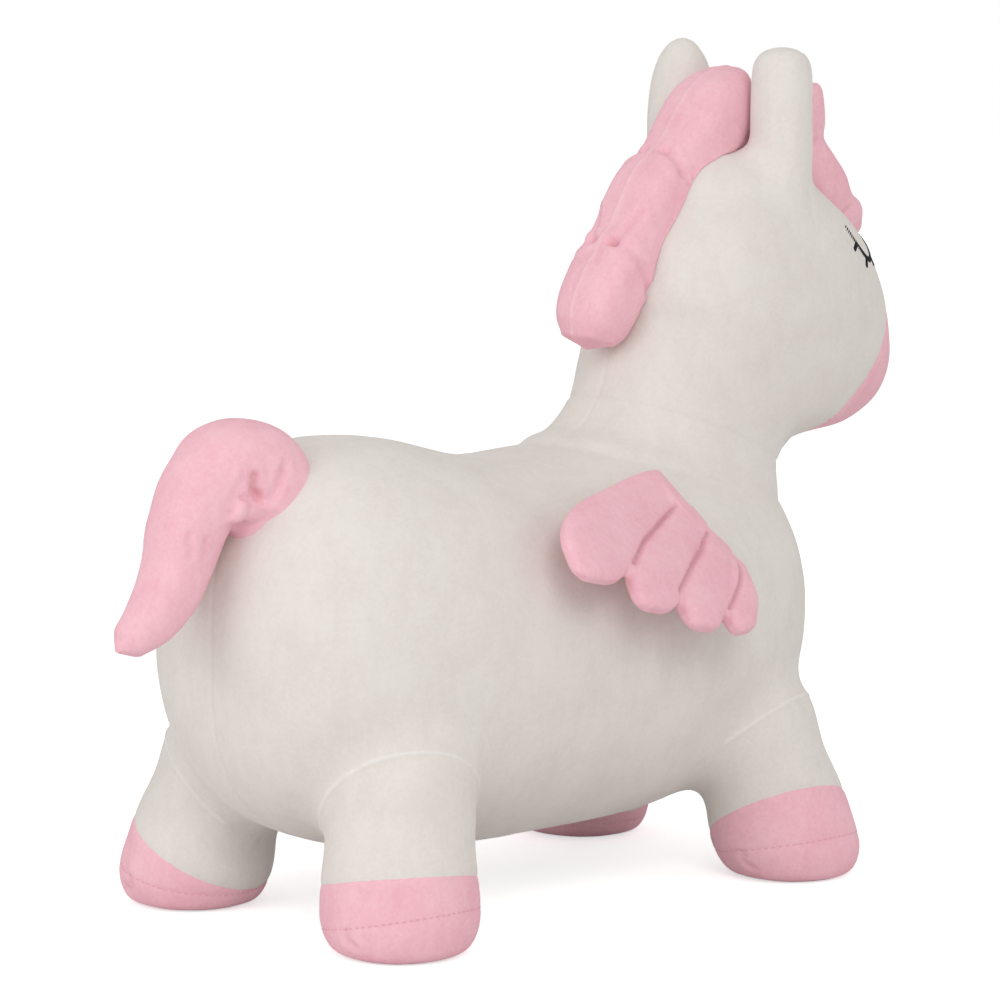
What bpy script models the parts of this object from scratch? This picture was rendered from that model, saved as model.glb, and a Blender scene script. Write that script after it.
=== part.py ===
"""Bouncy ride-on animal: an inflatable hopper in a zipped, padded plush cover.

Frame: +X is the nose, +Y the animal's left, +Z up, floor at z = 0, metres.
A hollow air bladder fills a cover sewn from separate panels.  The mane, the
forelock, the tail and the two quilted wings are stuffed pieces sewn on to it.
"""
import math

import bmesh
import bpy
import numpy as np
from mathutils import Matrix, Vector

# Driving dimensions of the trunk, and the height of the ear tips.
TOTAL_HEIGHT = 0.550
BODY_LENGTH = 0.468
BODY_WIDTH = 0.256
BODY_CENTRE_X = -0.0205
BODY_MID_Z = 0.173
BODY_DEPTH_BELOW = 0.135
RUMP_RISE = 0.1584
BELLY_Z = 0.0445
TORSO_RINGS = 12
TORSO_SIDES = 20
TORSO_SQUARENESS = 2.2
TORSO_END_BLUNTNESS = 0.8
CUTTER_REACH = 1.4
MERGE_DISTANCE = 0.00001

# Cover and bladder walls.
FIT_GAP = 0.0003
COVER_WALL = 0.003
BLADDER_CLEARANCE = 0.0004
BLADDER_WALL = 0.0012
BLADDER_BELLY_RISE = 0.0115

# Legs and hooves.
LEG_CENTRE_X = -0.0155
LEG_SPREAD_X = 0.1735
LEG_SPREAD_Y = 0.1015
LEG_RADIUS = 0.0505
LEG_HEIGHT = 0.144
FRONT_CROWN_HEIGHT = 0.0455
FRONT_CROWN_TILT_DEG = 27.0
FRONT_CROWN_HEADING_DEG = 95.0
HIND_CROWN_HEIGHT = 0.0405
HIND_CROWN_TILT_DEG = 23.0
HIND_CROWN_HEADING_DEG = 117.0
SOLE_HEIGHT = 0.0215
SOLE_TILT_DEG = 11.0
SOLE_HEADING_DEG = 90.0
LEG_SIDES = 12

# Head, ears and the cap over the muzzle.  The neck's root lies in the chest, and
# the head's drawing is as large as brings the ear tips to the total height.
NECK_SETBACK = 0.1013
NECK_SINK = 0.00085
NECK_ROOT_SHARES = (0.204, 0.313)
NECK_SEAM_SHARES = (0.2682, 0.5273)
NECK_SEAM_TILT_DEG = 21.7
MUZZLE_SEAM_SHARES = (0.5036, 0.5933)
MUZZLE_SEAM_TILT_DEG = 127.7
EAR_PLACE_SHARES = (0.3664, 0.0855, 0.7673)
EAR_DIAMETER = 0.043
EAR_DEPTH_SHARE = 0.94
EAR_BLUNTNESS = 9.0
EAR_SEAM_SHARE = 0.2
EAR_SIDES = 12
HEAD_SIDES = 16
HEAD_SQUARENESS = 2.35

# Closed eyes, sewn in thread on the cheeks.
EYE_PLACE_SHARES = (0.360, 0.7491)
EYE_TURN_DEG = 38.0
EYE_WIDTH = 0.034
EYE_DROP = 0.009
EYE_THREAD = 0.0026
EYE_LASH = 0.009
EYE_REACH_SHARE = 0.1364
EYE_BEND_DEG = (200.0, 340.0)
EYE_STEPS = 11
EYE_INNER_SHARE = 0.93
LASH_FAN_DEG = 86.0
LASH_SHARES = (-0.40, -0.14, 0.14, 0.40)
THREAD_RAISE = 0.0010

# Tail: its reach behind its root in the rump, the hinge with its knuckle, and
# the sector that the sewn root keeps.
TAIL_REACH = 0.13719
TAIL_SETIN = 0.06365
TAIL_ROOT_RISE_SHARE = 0.5398
TAIL_HINGE_SHARES = (-0.4291, 0.5409)
TAIL_KNUCKLE_RADIUS = 0.0145
TAIL_KNUCKLE_HALF_WIDTH = 0.021
TAIL_ROOT_SECTOR_DEG = (-62.0, 22.0)
TAIL_FRONT_DEG = 14.0
TUBE_SIDES = 12
TUBE_SQUARENESS = 2.3

# Wings: the sewn edge runs down the shoulder, the feathers trail backwards.
WING_X = 0.050
WING_CLIMB = 0.04283
WING_EDGE_LENGTH = 0.096
WING_LEAN_DEG = 53.1
WING_EDGE_DROP_DEG = 67.2
WING_THICKNESS = 0.015
WING_AXIS_STANDOFF = 0.00343
WING_BEAD_RADIUS = 0.0045
WING_BEAD_LENGTH = 0.060
WING_REST_DEG = 10.5
WING_TAPE_DEPTH = 0.030
WING_TAPE_LIP_SHARE = 0.55
FEATHER_SIDES = 8
FEATHER_SQUARENESS = 2.2

# Belly panel, its zip and the valve.
ZIP_CENTRE_X = -0.0205
PANEL_REACH = 0.08
PANEL_HALF_LENGTH = 0.094
PANEL_HALF_WIDTH = 0.040
SLOT_HALF_LENGTH = 0.082
SLOT_HALF_WIDTH = 0.0058
TAPE_LENGTH = 0.176
TAPE_HALF_WIDTH = 0.014
TAPE_THICKNESS = 0.0008
TOOTH_PITCH = 0.0054
TOOTH_LENGTH = 0.0030
TOOTH_THICKNESS = 0.0022
TOOTH_GAP = 0.00035
TOOTH_STEM = 0.0012
ZIP_STOP_LENGTH = 0.0018
SLIDER_LENGTH = 0.0095
SLIDER_HALF_WIDTH = 0.0050
SLIDER_PLATE = 0.0009
TAB_LENGTH = 0.026
TAB_WIDTH = 0.0064
TAB_THICKNESS = 0.0011
TAB_BAR = 0.0012
TAB_EYE_LENGTH = 0.0034
TAB_EYE_WIDTH = 0.0024
POST_LENGTH = 0.0016
POST_WIDTH = 0.0026
BRIDGE_LENGTH = 0.0052
BRIDGE_WIDTH = 0.0016
BRIDGE_BAR = 0.0010
BRIDGE_EYE_LENGTH = 0.0036
VALVE_X = 0.015
DIMPLE_RADIUS = 0.020
DIMPLE_DEPTH = 0.014
VALVE_RADIUS = 0.008
VALVE_BORE = 0.005
VALVE_FLANGE = 0.0015
VALVE_FLANGE_RADIUS = 0.0128
VALVE_SEAT_RISE = 0.009
PLUG_DISC_RADIUS = 0.0092
PLUG_DISC = 0.0020
PLUG_KNOB_RADIUS = 0.0036
PLUG_KNOB = 0.0012
PLUG_STEM_RISE = 0.0080
PLUG_STEM_TAPER = 0.0025
PLUG_CHAMFER = 0.0012
TURNED_SIDES = 20

# Places along the half body, and the back's rise there as a share of the rump's.
BACK_SHARES = (
    (-1.0, 1.0), (-0.80, 1.0), (-0.67, 0.948), (-0.53, 0.892), (-0.41, 0.847),
    (-0.30, 0.792), (-0.19, 0.740), (-0.06, 0.712), (0.02, 0.708), (0.11, 0.715),
    (0.23, 0.729), (0.44, 0.747), (0.65, 0.767), (0.87, 0.889), (1.0, 0.889),
)

# Head stations: height, centre X, reach back, reach front and half width as
# shares of the head's drawing, with the tilt of the section in degrees.
HEAD_STATION_SHARES = (
    (0.313, 0.204, 0.127, 0.155, 0.146, 15.0),
    (0.440, 0.241, 0.200, 0.149, 0.142, 20.0),
    (0.487, 0.256, 0.156, 0.142, 0.130, 21.0),
    (0.528, 0.268, 0.138, 0.138, 0.116, 21.7),
    (0.564, 0.283, 0.142, 0.167, 0.116, 21.0),
    (0.595, 0.314, 0.165, 0.241, 0.123, 18.0),
    (0.631, 0.341, 0.180, 0.267, 0.134, 14.0),
    (0.673, 0.350, 0.182, 0.253, 0.140, 8.0),
    (0.733, 0.359, 0.175, 0.200, 0.137, 0.0),
    (0.783, 0.359, 0.151, 0.154, 0.129, 0.0),
    (0.818, 0.359, 0.130, 0.100, 0.117, 0.0),
    (0.845, 0.355, 0.104, 0.074, 0.098, 0.0),
    (0.863, 0.350, 0.070, 0.050, 0.068, 0.0),
)
HEAD_TOP_SHARES = (0.345, 0.872)

# Leg stations: height share of the leg, radius share, and how far the centre
# has moved in from the hoof, as a share of the leg radius.
LEG_TOP_SHARE = 0.55
LEG_STATION_SHARES = (
    (0.0, 0.66, 0.0),
    (0.035, 0.86, 0.01),
    (0.150, 0.985, 0.04),
    (0.330, 0.955, 0.12),
    (0.440, 0.925, 0.19),
    (0.600, 0.93, 0.34),
    (0.760, 0.97, 0.46),
    (0.880, 0.90, 0.52),
    (0.960, 0.62, 0.55),
)

# Stuffed tubes: X and Z of the centre, half thickness and half width, all as
# shares of the drawing that they lie on, the head's or the tail's.
MANE_SHARES = (
    (0.364, 0.925, 0.045, 0.036),
    (0.354, 0.926, 0.050, 0.043),
    (0.328, 0.914, 0.051, 0.046),
    (0.305, 0.890, 0.049, 0.045),
    (0.284, 0.866, 0.045, 0.043),
    (0.260, 0.841, 0.041, 0.040),
    (0.235, 0.821, 0.045, 0.044),
    (0.214, 0.796, 0.042, 0.045),
    (0.192, 0.764, 0.039, 0.041),
    (0.171, 0.735, 0.040, 0.045),
    (0.152, 0.710, 0.041, 0.046),
    (0.137, 0.684, 0.041, 0.045),
    (0.127, 0.661, 0.035, 0.039),
    (0.120, 0.645, 0.022, 0.025),
)
MANE_END_SHARES = (0.116, 0.632)
FORELOCK_SHARES = (
    (0.465, 0.964, 0.029, 0.035),
    (0.467, 0.949, 0.035, 0.040),
    (0.471, 0.908, 0.036, 0.042),
    (0.479, 0.872, 0.033, 0.039),
    (0.500, 0.840, 0.036, 0.042),
    (0.522, 0.813, 0.037, 0.042),
    (0.545, 0.790, 0.029, 0.036),
    (0.563, 0.776, 0.030, 0.034),
    (0.581, 0.760, 0.017, 0.020),
)
FORELOCK_END_SHARES = (0.588, 0.752)
TAIL_SHARES = (
    (-0.347, 0.470, 0.067, 0.073),
    (-0.378, 0.507, 0.071, 0.078),
    (-0.408, 0.532, 0.068, 0.075),
    (-0.437, 0.537, 0.058, 0.063),
    (-0.459, 0.522, 0.051, 0.055),
    (-0.477, 0.502, 0.046, 0.050),
    (-0.491, 0.478, 0.043, 0.046),
    (-0.501, 0.454, 0.040, 0.044),
    (-0.511, 0.427, 0.037, 0.041),
    (-0.525, 0.400, 0.034, 0.038),
    (-0.549, 0.373, 0.029, 0.032),
    (-0.578, 0.352, 0.020, 0.022),
)
TAIL_END_SHARES = (-0.5967, 0.342)

# Feathers, root and tip along and across the wing, half width at root and at
# the widest place, as shares of the sewn edge's length.
FEATHER_SHARES = (
    (0.05, 0.15, 1.80, 0.25, 0.16, 0.31),
    (0.05, 0.40, 1.22, 0.70, 0.13, 0.20),
    (0.05, 0.64, 0.90, 1.00, 0.13, 0.19),
    (0.05, 0.84, 0.57, 1.22, 0.12, 0.16),
)

# Places along a feather and an ear where their sections stand.
FEATHER_STATION_SHARES = (0.0, 0.2, 0.45, 0.68, 0.85, 0.95)
EAR_STATION_SHARES = (0.0, 0.35, 0.6, 0.80, 0.92, 0.975)

# Where a feather reaches full width and full stuffing and where its tip rounds
# off, then the thickness kept at its root and at its rim.
FEATHER_SWELL_SHARE = 0.6
FEATHER_FILL_SHARE = 0.25
FEATHER_ROUND_SHARE = 0.62
FEATHER_ROOT_THICKNESS_SHARE = 0.45
FEATHER_RIM_THICKNESS_SHARE = 0.35

GREY_WHITE = (0.77, 0.75, 0.72)
PINK = (0.87, 0.42, 0.52)
RUBBER_GREY = (0.55, 0.56, 0.58)
ZIP_WHITE = (0.80, 0.79, 0.77)
THREAD_BLACK = (0.012, 0.011, 0.012)


def material(name, colour, roughness, metallic=0.0):
    made = bpy.data.materials.new(name)
    made.use_nodes = True
    shader = made.node_tree.nodes["Principled BSDF"]
    shader.inputs["Base Color"].default_value = (*colour, 1.0)
    shader.inputs["Roughness"].default_value = roughness
    shader.inputs["Metallic"].default_value = metallic
    return made


def placed(mesh, matrix):
    """Move a mesh by a matrix; one that mirrors it turns its faces back out."""
    mesh.transform(matrix)
    if matrix.determinant() < 0:
        mesh.flip_normals()
    return mesh


def add_object(name, mesh, collection):
    made = bpy.data.objects.new(name, mesh)
    collection.objects.link(made)
    if collection.name == "cutters":
        made.hide_render = True
        made.display_type = "WIRE"
    return made


def settle(piece):
    """Replace a piece's mesh by what its modifiers make of it."""
    bpy.context.view_layer.update()
    graph = bpy.context.evaluated_depsgraph_get()
    piece.data = bpy.data.meshes.new_from_object(piece.evaluated_get(graph))
    piece.modifiers.clear()


def boolean(piece, operation, *others):
    for other in others:
        step = piece.modifiers.new(operation.title(), "BOOLEAN")
        step.operation = operation
        step.solver = "EXACT"
        step.object = other
    settle(piece)
    return piece


def cut(piece, *others):
    return boolean(piece, "DIFFERENCE", *others)


def join(piece, *others):
    return boolean(piece, "UNION", *others)


def keep_inside(piece, other):
    return boolean(piece, "INTERSECT", other)


def copy_of(source, name, collection):
    return add_object(name, source.data.copy(), collection)


def with_mirror(piece):
    """The left piece and its mirrored copy on the right, by name."""
    twin = copy_of(piece, piece.name.replace("left", "right"), piece.users_collection[0])
    placed(twin.data, Matrix.Diagonal((1.0, -1.0, 1.0, 1.0)))
    twin.location = (piece.location.x, -piece.location.y, piece.location.z)
    return {piece.name: piece, twin.name: twin}


def mesh_from_rings(name, rings, start_pole=None, end_pole=None):
    """Close a surface over rings of equal counts; an end without a pole is flat.

    Each four-sided patch is split so that the two flanks mirror each other.
    """
    shell = bmesh.new()
    rows = [[shell.verts.new(point) for point in ring] for ring in rings]
    count = len(rows[0])
    middle = sum(vert.co.y for vert in shell.verts) / len(shell.verts)
    for lower, upper in zip(rows, rows[1:]):
        for j in range(count):
            k = (j + 1) % count
            a, b, c, d = lower[j], lower[k], upper[k], upper[j]
            if (a.co.y + b.co.y + c.co.y + d.co.y) / 4 < middle:
                a, b, c, d = b, c, d, a
            shell.faces.new((a, b, c))
            shell.faces.new((a, c, d))
    for row, pole in ((rows[0], start_pole), (rows[-1], end_pole)):
        if pole is None:
            shell.faces.new(row)
            continue
        tip = shell.verts.new(pole)
        for j in range(count):
            shell.faces.new((row[j], row[(j + 1) % count], tip))
    bmesh.ops.recalc_face_normals(shell, faces=shell.faces)
    if shell.calc_volume(signed=True) < 0:
        bmesh.ops.reverse_faces(shell, faces=shell.faces)
    mesh = bpy.data.meshes.new(name)
    shell.to_mesh(mesh)
    shell.free()
    return mesh


def inset_mesh(mesh, inset, floor_z):
    """Move every point in along its normal, and stay above the inset floor."""
    shell = bmesh.new()
    shell.from_mesh(mesh)
    shell.normal_update()
    moved = [vert.co - vert.normal * inset for vert in shell.verts]
    for vert, place in zip(shell.verts, moved):
        vert.co = place
        vert.co.z = max(vert.co.z, floor_z + inset)
    shell.to_mesh(mesh)
    shell.free()
    return mesh


def rounded(angle, power):
    """Unit superellipse: cosine and sine with their sizes raised to 2 / power."""
    c = math.cos(angle)
    s = math.sin(angle)
    return (math.copysign(abs(c) ** (2 / power), c), math.copysign(abs(s) ** (2 / power), s))


def turns(count):
    return [2 * math.pi * (i + 0.5) / count for i in range(count)]


def back_rise(place):
    """Rise of the back over the middle, at a place from -1 to 1 along the body."""
    places, shares = zip(*BACK_SHARES)
    return np.interp(place, places, shares) * RUMP_RISE


def end_taper(place):
    """How much of the full section is left at a place along the body."""
    return (1 - abs(place) ** 3) ** (1 / 3)


def torso_mesh(inset=0.0, floor_z=BELLY_Z):
    """Barrel of the body: superellipse sections between two blunt ends."""
    half_length = BODY_LENGTH / 2
    places = [-math.cos(math.pi * (i + 1) / (TORSO_RINGS + 1)) for i in range(TORSO_RINGS)]
    places = [math.copysign(abs(p) ** TORSO_END_BLUNTNESS, p) for p in places]
    rings = []
    for place in places:
        taper = end_taper(place)
        rise = back_rise(place)
        ring = []
        for angle in turns(TORSO_SIDES):
            c, s = rounded(angle, TORSO_SQUARENESS)
            reach = rise if s > 0 else BODY_DEPTH_BELOW
            ring.append((BODY_CENTRE_X + place * half_length,
                         c * taper * BODY_WIDTH / 2,
                         BODY_MID_Z + s * taper * reach))
        rings.append(ring)
    ends = [(BODY_CENTRE_X + side * half_length, 0.0, BODY_MID_Z) for side in (-1, 1)]
    mesh = mesh_from_rings("torso", rings, *ends)
    return inset_mesh(mesh, inset, floor_z)


def head_drawing():
    """Size of the head's drawing, and where the drawing's zero point lies."""
    root_x = BODY_CENTRE_X + BODY_LENGTH / 2 - NECK_SETBACK
    root_z = BODY_MID_Z - NECK_SINK
    size = (TOTAL_HEIGHT - root_z) / (1 - NECK_ROOT_SHARES[1])
    return size, (root_x - NECK_ROOT_SHARES[0] * size, root_z - NECK_ROOT_SHARES[1] * size)


def on_head(x_share, z_share, y=0.0):
    size, (zero_x, zero_z) = head_drawing()
    return Vector((zero_x + x_share * size, y, zero_z + z_share * size))


def head_mesh(inset=0.0):
    """Neck, head and muzzle in one, as tilted sections up the neck."""
    size, _ = head_drawing()
    rings = []
    for height, centre, back, front, half_width, tilt in HEAD_STATION_SHARES:
        lean = math.radians(tilt)
        ring = []
        for angle in turns(HEAD_SIDES):
            c, s = rounded(angle, HEAD_SQUARENESS)
            reach = (front if c > 0 else back) * size * c
            slant = Vector((reach * math.cos(lean), 0.0, -reach * math.sin(lean)))
            ring.append(on_head(centre, height, half_width * size * s) + slant)
        rings.append(ring)
    return inset_mesh(mesh_from_rings("head", rings, None, on_head(*HEAD_TOP_SHARES)), inset, 0.0)


def foot_centre(front, left):
    return Vector((LEG_CENTRE_X + front * LEG_SPREAD_X, left * LEG_SPREAD_Y, 0.0))


def leg_mesh(front, left, inset=0.0):
    """One splayed leg with its hoof, from the flat sole to a dome in the body."""
    rings = []
    lean = Vector((front * math.cos(math.pi / 4), left * math.sin(math.pi / 4), 0.0))
    foot = foot_centre(front, left)
    for height, radius, moved in LEG_STATION_SHARES:
        centre = foot - lean * (moved * LEG_RADIUS * math.sqrt(2)) + Vector((0, 0, height * LEG_HEIGHT))
        rings.append([centre + Vector((math.cos(a), math.sin(a), 0.0)) * (radius * LEG_RADIUS)
                      for a in turns(LEG_SIDES)])
    top = foot - lean * (LEG_TOP_SHARE * LEG_RADIUS * math.sqrt(2)) + Vector((0, 0, LEG_HEIGHT))
    return inset_mesh(mesh_from_rings("leg", rings, None, top), inset, 0.0)


def ear_base(left):
    size, _ = head_drawing()
    x_share, y_share, z_share = EAR_PLACE_SHARES
    return on_head(x_share, z_share, left * y_share * size)


def ear_mesh(left, inset=0.0):
    """One upright, blunt ear, flattened a little towards the front."""
    base = ear_base(left)
    rise = TOTAL_HEIGHT - base.z - inset
    radius = EAR_DIAMETER / 2 - inset
    rings = []
    for share in EAR_STATION_SHARES:
        size = radius * math.sqrt(1 - share ** EAR_BLUNTNESS)
        rings.append([base + Vector((math.cos(a) * size * EAR_DEPTH_SHARE, math.sin(a) * size, share * rise))
                      for a in turns(EAR_SIDES)])
    return mesh_from_rings("ear", rings, None, base + Vector((0.0, 0.0, rise)))


def tail_drawing():
    """Size of the tail's drawing, and where the drawing's zero point lies."""
    root_x_share, root_z_share = TAIL_SHARES[0][:2]
    size = TAIL_REACH / (root_x_share - TAIL_END_SHARES[0])
    root_x = BODY_CENTRE_X - BODY_LENGTH / 2 + TAIL_SETIN
    root_z = BODY_MID_Z + TAIL_ROOT_RISE_SHARE * RUMP_RISE
    return size, (root_x - root_x_share * size, root_z - root_z_share * size)


def tail_hinge():
    size, (zero_x, zero_z) = tail_drawing()
    return Vector((zero_x + TAIL_HINGE_SHARES[0] * size, 0.0, zero_z + TAIL_HINGE_SHARES[1] * size))


def swept_mesh(name, stations, end, drawing):
    """A stuffed tube in the X-Z plane whose section changes along it."""
    size, zero = drawing
    rows = np.array(stations) * size
    points = np.vstack([rows[:, :2], np.array(end) * size]) + zero
    along = np.gradient(points, axis=0)
    along /= np.linalg.norm(along, axis=1)[:, None]
    rings = []
    for (x, z), (thick, wide), (tx, tz) in zip(points, rows[:, 2:], along):
        ring = []
        for angle in turns(TUBE_SIDES):
            c, s = rounded(angle, TUBE_SQUARENESS)
            ring.append((x - tz * thick * c, wide * s, z + tx * thick * c))
        rings.append(ring)
    return mesh_from_rings(name, rings, None, (points[-1][0], 0.0, points[-1][1]))


def half_space(name, origin, normal, cutters):
    """A large block whose one face lies at the origin, filling the normal's side."""
    block = box(name, (CUTTER_REACH, CUTTER_REACH, CUTTER_REACH), (0, 0, 0), cutters)
    turn = Vector((0, 0, 1)).rotation_difference(Vector(normal)).to_matrix().to_4x4()
    lift = Matrix.Translation(Vector(origin) + Vector(normal).normalized() * CUTTER_REACH / 2)
    block.data.transform(lift @ turn)
    return block


def box(name, size, centre, collection):
    shell = bmesh.new()
    bmesh.ops.create_cube(shell, size=1.0)
    mesh = bpy.data.meshes.new(name)
    shell.to_mesh(mesh)
    shell.free()
    mesh.transform(Matrix.Translation(centre) @ Matrix.Diagonal((*size, 1.0)))
    return add_object(name, mesh, collection)


def cylinder(name, radius, length, place, collection, sides=32):
    """A cylinder along its own Z, moved by the matrix given as place."""
    shell = bmesh.new()
    bmesh.ops.create_cone(shell, cap_ends=True, segments=sides, radius1=radius,
                          radius2=radius, depth=length)
    mesh = bpy.data.meshes.new(name)
    shell.to_mesh(mesh)
    shell.free()
    return add_object(name, placed(mesh, place), collection)


def turned(name, profile, place, collection, sides=TURNED_SIDES):
    """A closed profile of (radius, height) pairs turned about Z."""
    shell = bmesh.new()
    points = [shell.verts.new((radius, 0.0, height)) for radius, height in profile]
    on_axis = profile[0][0] == 0.0 and profile[-1][0] == 0.0
    ends = points[1:] if on_axis else points[1:] + points[:1]
    for first, second in zip(points, ends):
        shell.edges.new((first, second))
    mesh = bpy.data.meshes.new(name)
    shell.to_mesh(mesh)
    shell.free()
    piece = add_object(name, mesh, collection)
    screw = piece.modifiers.new("Turn", "SCREW")
    screw.steps = sides
    screw.render_steps = sides
    screw.use_merge_vertices = True
    screw.merge_threshold = MERGE_DISTANCE
    screw.use_normal_calculate = True
    settle(piece)
    shell = bmesh.new()
    shell.from_mesh(piece.data)
    bmesh.ops.remove_doubles(shell, verts=shell.verts, dist=MERGE_DISTANCE)
    bmesh.ops.recalc_face_normals(shell, faces=shell.faces)
    if shell.calc_volume(signed=True) < 0:
        bmesh.ops.reverse_faces(shell, faces=shell.faces)
    shell.to_mesh(piece.data)
    shell.free()
    piece.data.transform(Matrix.Translation(place))
    return piece


def flat_outline(name, outlines, thickness, collection):
    """A plate in the X-Y plane from closed outlines; inner ones are holes."""
    curve = bpy.data.curves.new(name, "CURVE")
    curve.dimensions = "2D"
    curve.fill_mode = "BOTH"
    curve.extrude = thickness / 2
    for outline in outlines:
        spline = curve.splines.new("POLY")
        spline.points.add(len(outline) - 1)
        for point, (x, y) in zip(spline.points, outline):
            point.co = (x, y, 0.0, 1.0)
        spline.use_cyclic_u = True
    temporary = bpy.data.objects.new(name, curve)
    collection.objects.link(temporary)
    bpy.context.view_layer.update()
    graph = bpy.context.evaluated_depsgraph_get()
    mesh = bpy.data.meshes.new_from_object(temporary.evaluated_get(graph))
    bpy.data.objects.remove(temporary)
    shell = bmesh.new()
    shell.from_mesh(mesh)
    bmesh.ops.remove_doubles(shell, verts=shell.verts, dist=MERGE_DISTANCE)
    bmesh.ops.recalc_face_normals(shell, faces=shell.faces)
    shell.to_mesh(mesh)
    shell.free()
    return add_object(name, mesh, collection)


def set_origin(piece, origin):
    piece.data.transform(Matrix.Translation(-Vector(origin)))
    piece.location = origin


def finish(piece, skin):
    piece.data.materials.clear()
    piece.data.materials.append(skin)
    piece.data.shade_smooth()
    piece.data.set_sharp_from_angle(angle=math.radians(50))


def neck_normal():
    tilt = math.radians(NECK_SEAM_TILT_DEG)
    return Vector((math.sin(tilt), 0.0, math.cos(tilt)))


def muzzle_normal():
    tilt = math.radians(MUZZLE_SEAM_TILT_DEG)
    return Vector((math.sin(tilt), 0.0, math.cos(tilt)))


def leg_corners():
    for front, fore_name in ((1, "front"), (-1, "hind")):
        for left, side_name in ((1, "left"), (-1, "right")):
            yield front, left, f"{fore_name}_{side_name}"


def left_legs():
    return ((1, "front_left"), (-1, "hind_left"))


def make_forms(cutters):
    """Trunk, left legs and left ear at the insets that their covers need."""
    forms = {}
    for label, inset in (("clear", -FIT_GAP), ("outer", 0.0), ("inner", COVER_WALL)):
        torso = add_object(f"form_torso_{label}", torso_mesh(inset), cutters)
        head = add_object(f"form_head_{label}", head_mesh(inset), cutters)
        forms["trunk", label] = join(torso, head)
        for front, corner in left_legs():
            mesh = leg_mesh(front, 1, inset)
            forms[corner, label] = add_object(f"form_leg_{corner}_{label}", mesh, cutters)
        forms["ear", label] = add_object(f"form_ear_{label}", ear_mesh(1, inset), cutters)
    forms["trunk", "shell"] = cut(copy_of(forms["trunk", "outer"], "form_trunk_shell", cutters),
                                  forms["trunk", "inner"])
    return forms


def bladder_body(name, inset, cutters):
    """Outer or inner wall surface of the bladder: trunk, legs and ears in one."""
    belly = BELLY_Z + BLADDER_BELLY_RISE - COVER_WALL
    body = add_object(name, torso_mesh(inset, belly), cutters)
    members = [add_object(name + "_head", head_mesh(inset), cutters)]
    members += [add_object(f"{name}_{corner}", leg_mesh(front, left, inset), cutters)
                for front, left, corner in leg_corners()]
    members += [add_object(f"{name}_ear", ear_mesh(left, inset), cutters) for left in (1, -1)]
    return join(body, *members)


def bladder_belly_z():
    return BELLY_Z + BLADDER_BELLY_RISE + BLADDER_CLEARANCE


def make_bladder(parts, cutters):
    """Hollow bladder with a dimple in its belly, where the valve sits."""
    outer_inset = COVER_WALL + BLADDER_CLEARANCE
    bladder = bladder_body("air_bladder", outer_inset, cutters)
    hollow = bladder_body("bladder_hollow", outer_inset + BLADDER_WALL, cutters)
    belly = bladder_belly_z()
    for target, grow in ((bladder, 0.0), (hollow, BLADDER_WALL)):
        top = belly + DIMPLE_DEPTH + grow
        bottom = belly - DIMPLE_DEPTH
        place = Matrix.Translation((VALVE_X, 0.0, (top + bottom) / 2))
        cut(target, cylinder("dimple", DIMPLE_RADIUS + grow, top - bottom, place, cutters))
    cut(bladder, hollow)
    hole_z = belly + DIMPLE_DEPTH
    place = Matrix.Translation((VALVE_X, 0.0, hole_z))
    cut(bladder, cylinder("valve_hole", VALVE_RADIUS + FIT_GAP, DIMPLE_DEPTH, place, cutters, TURNED_SIDES))
    cutters.objects.unlink(bladder)
    parts.objects.link(bladder)
    bladder.hide_render = False
    bladder.display_type = "TEXTURED"
    return bladder


def make_trunk_covers(parts, cutters, forms):
    """Body halves, head halves and the muzzle cap, cut from one shell."""
    half_gap = FIT_GAP / 2
    neck = neck_normal()
    neck_place = on_head(*NECK_SEAM_SHARES)
    above_neck = half_space("above_neck", neck_place - neck * half_gap, neck, cutters)
    below_neck = half_space("below_neck", neck_place + neck * half_gap, -neck, cutters)
    cap = muzzle_normal()
    cap_place = on_head(*MUZZLE_SEAM_SHARES)
    in_muzzle = half_space("in_muzzle", cap_place - cap * half_gap, cap, cutters)
    off_muzzle = half_space("off_muzzle", cap_place + cap * half_gap, -cap, cutters)
    right_half = half_space("right_half", (0.0, half_gap, 0.0), (0.0, -1.0, 0.0), cutters)
    belly = (ZIP_CENTRE_X, 0.0, BELLY_Z)
    zone_size = (2 * (PANEL_HALF_LENGTH + FIT_GAP), 2 * (PANEL_HALF_WIDTH + FIT_GAP), PANEL_REACH)
    zone = box("panel_zone", zone_size, belly, cutters)
    window = box("panel_window", (2 * PANEL_HALF_LENGTH, 2 * PANEL_HALF_WIDTH, PANEL_REACH), belly, cutters)
    slot = box("zip_slot", (2 * SLOT_HALF_LENGTH, 2 * SLOT_HALF_WIDTH, PANEL_REACH), belly, cutters)

    body = copy_of(forms["trunk", "shell"], "body_cover_left", parts)
    leg_holes = [forms[corner, "inner"] for _, corner in left_legs()]
    cut(body, above_neck, right_half, zone, *leg_holes)
    head = copy_of(forms["trunk", "shell"], "head_cover_left", parts)
    cut(head, below_neck, in_muzzle, right_half, forms["ear", "inner"])
    muzzle = copy_of(forms["trunk", "shell"], "muzzle_cover", parts)
    cut(muzzle, below_neck, off_muzzle)
    panel = copy_of(forms["trunk", "shell"], "belly_panel", parts)
    cut(keep_inside(panel, window), slot)
    return {**with_mirror(body), **with_mirror(head), "muzzle_cover": muzzle, "belly_panel": panel}


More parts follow.
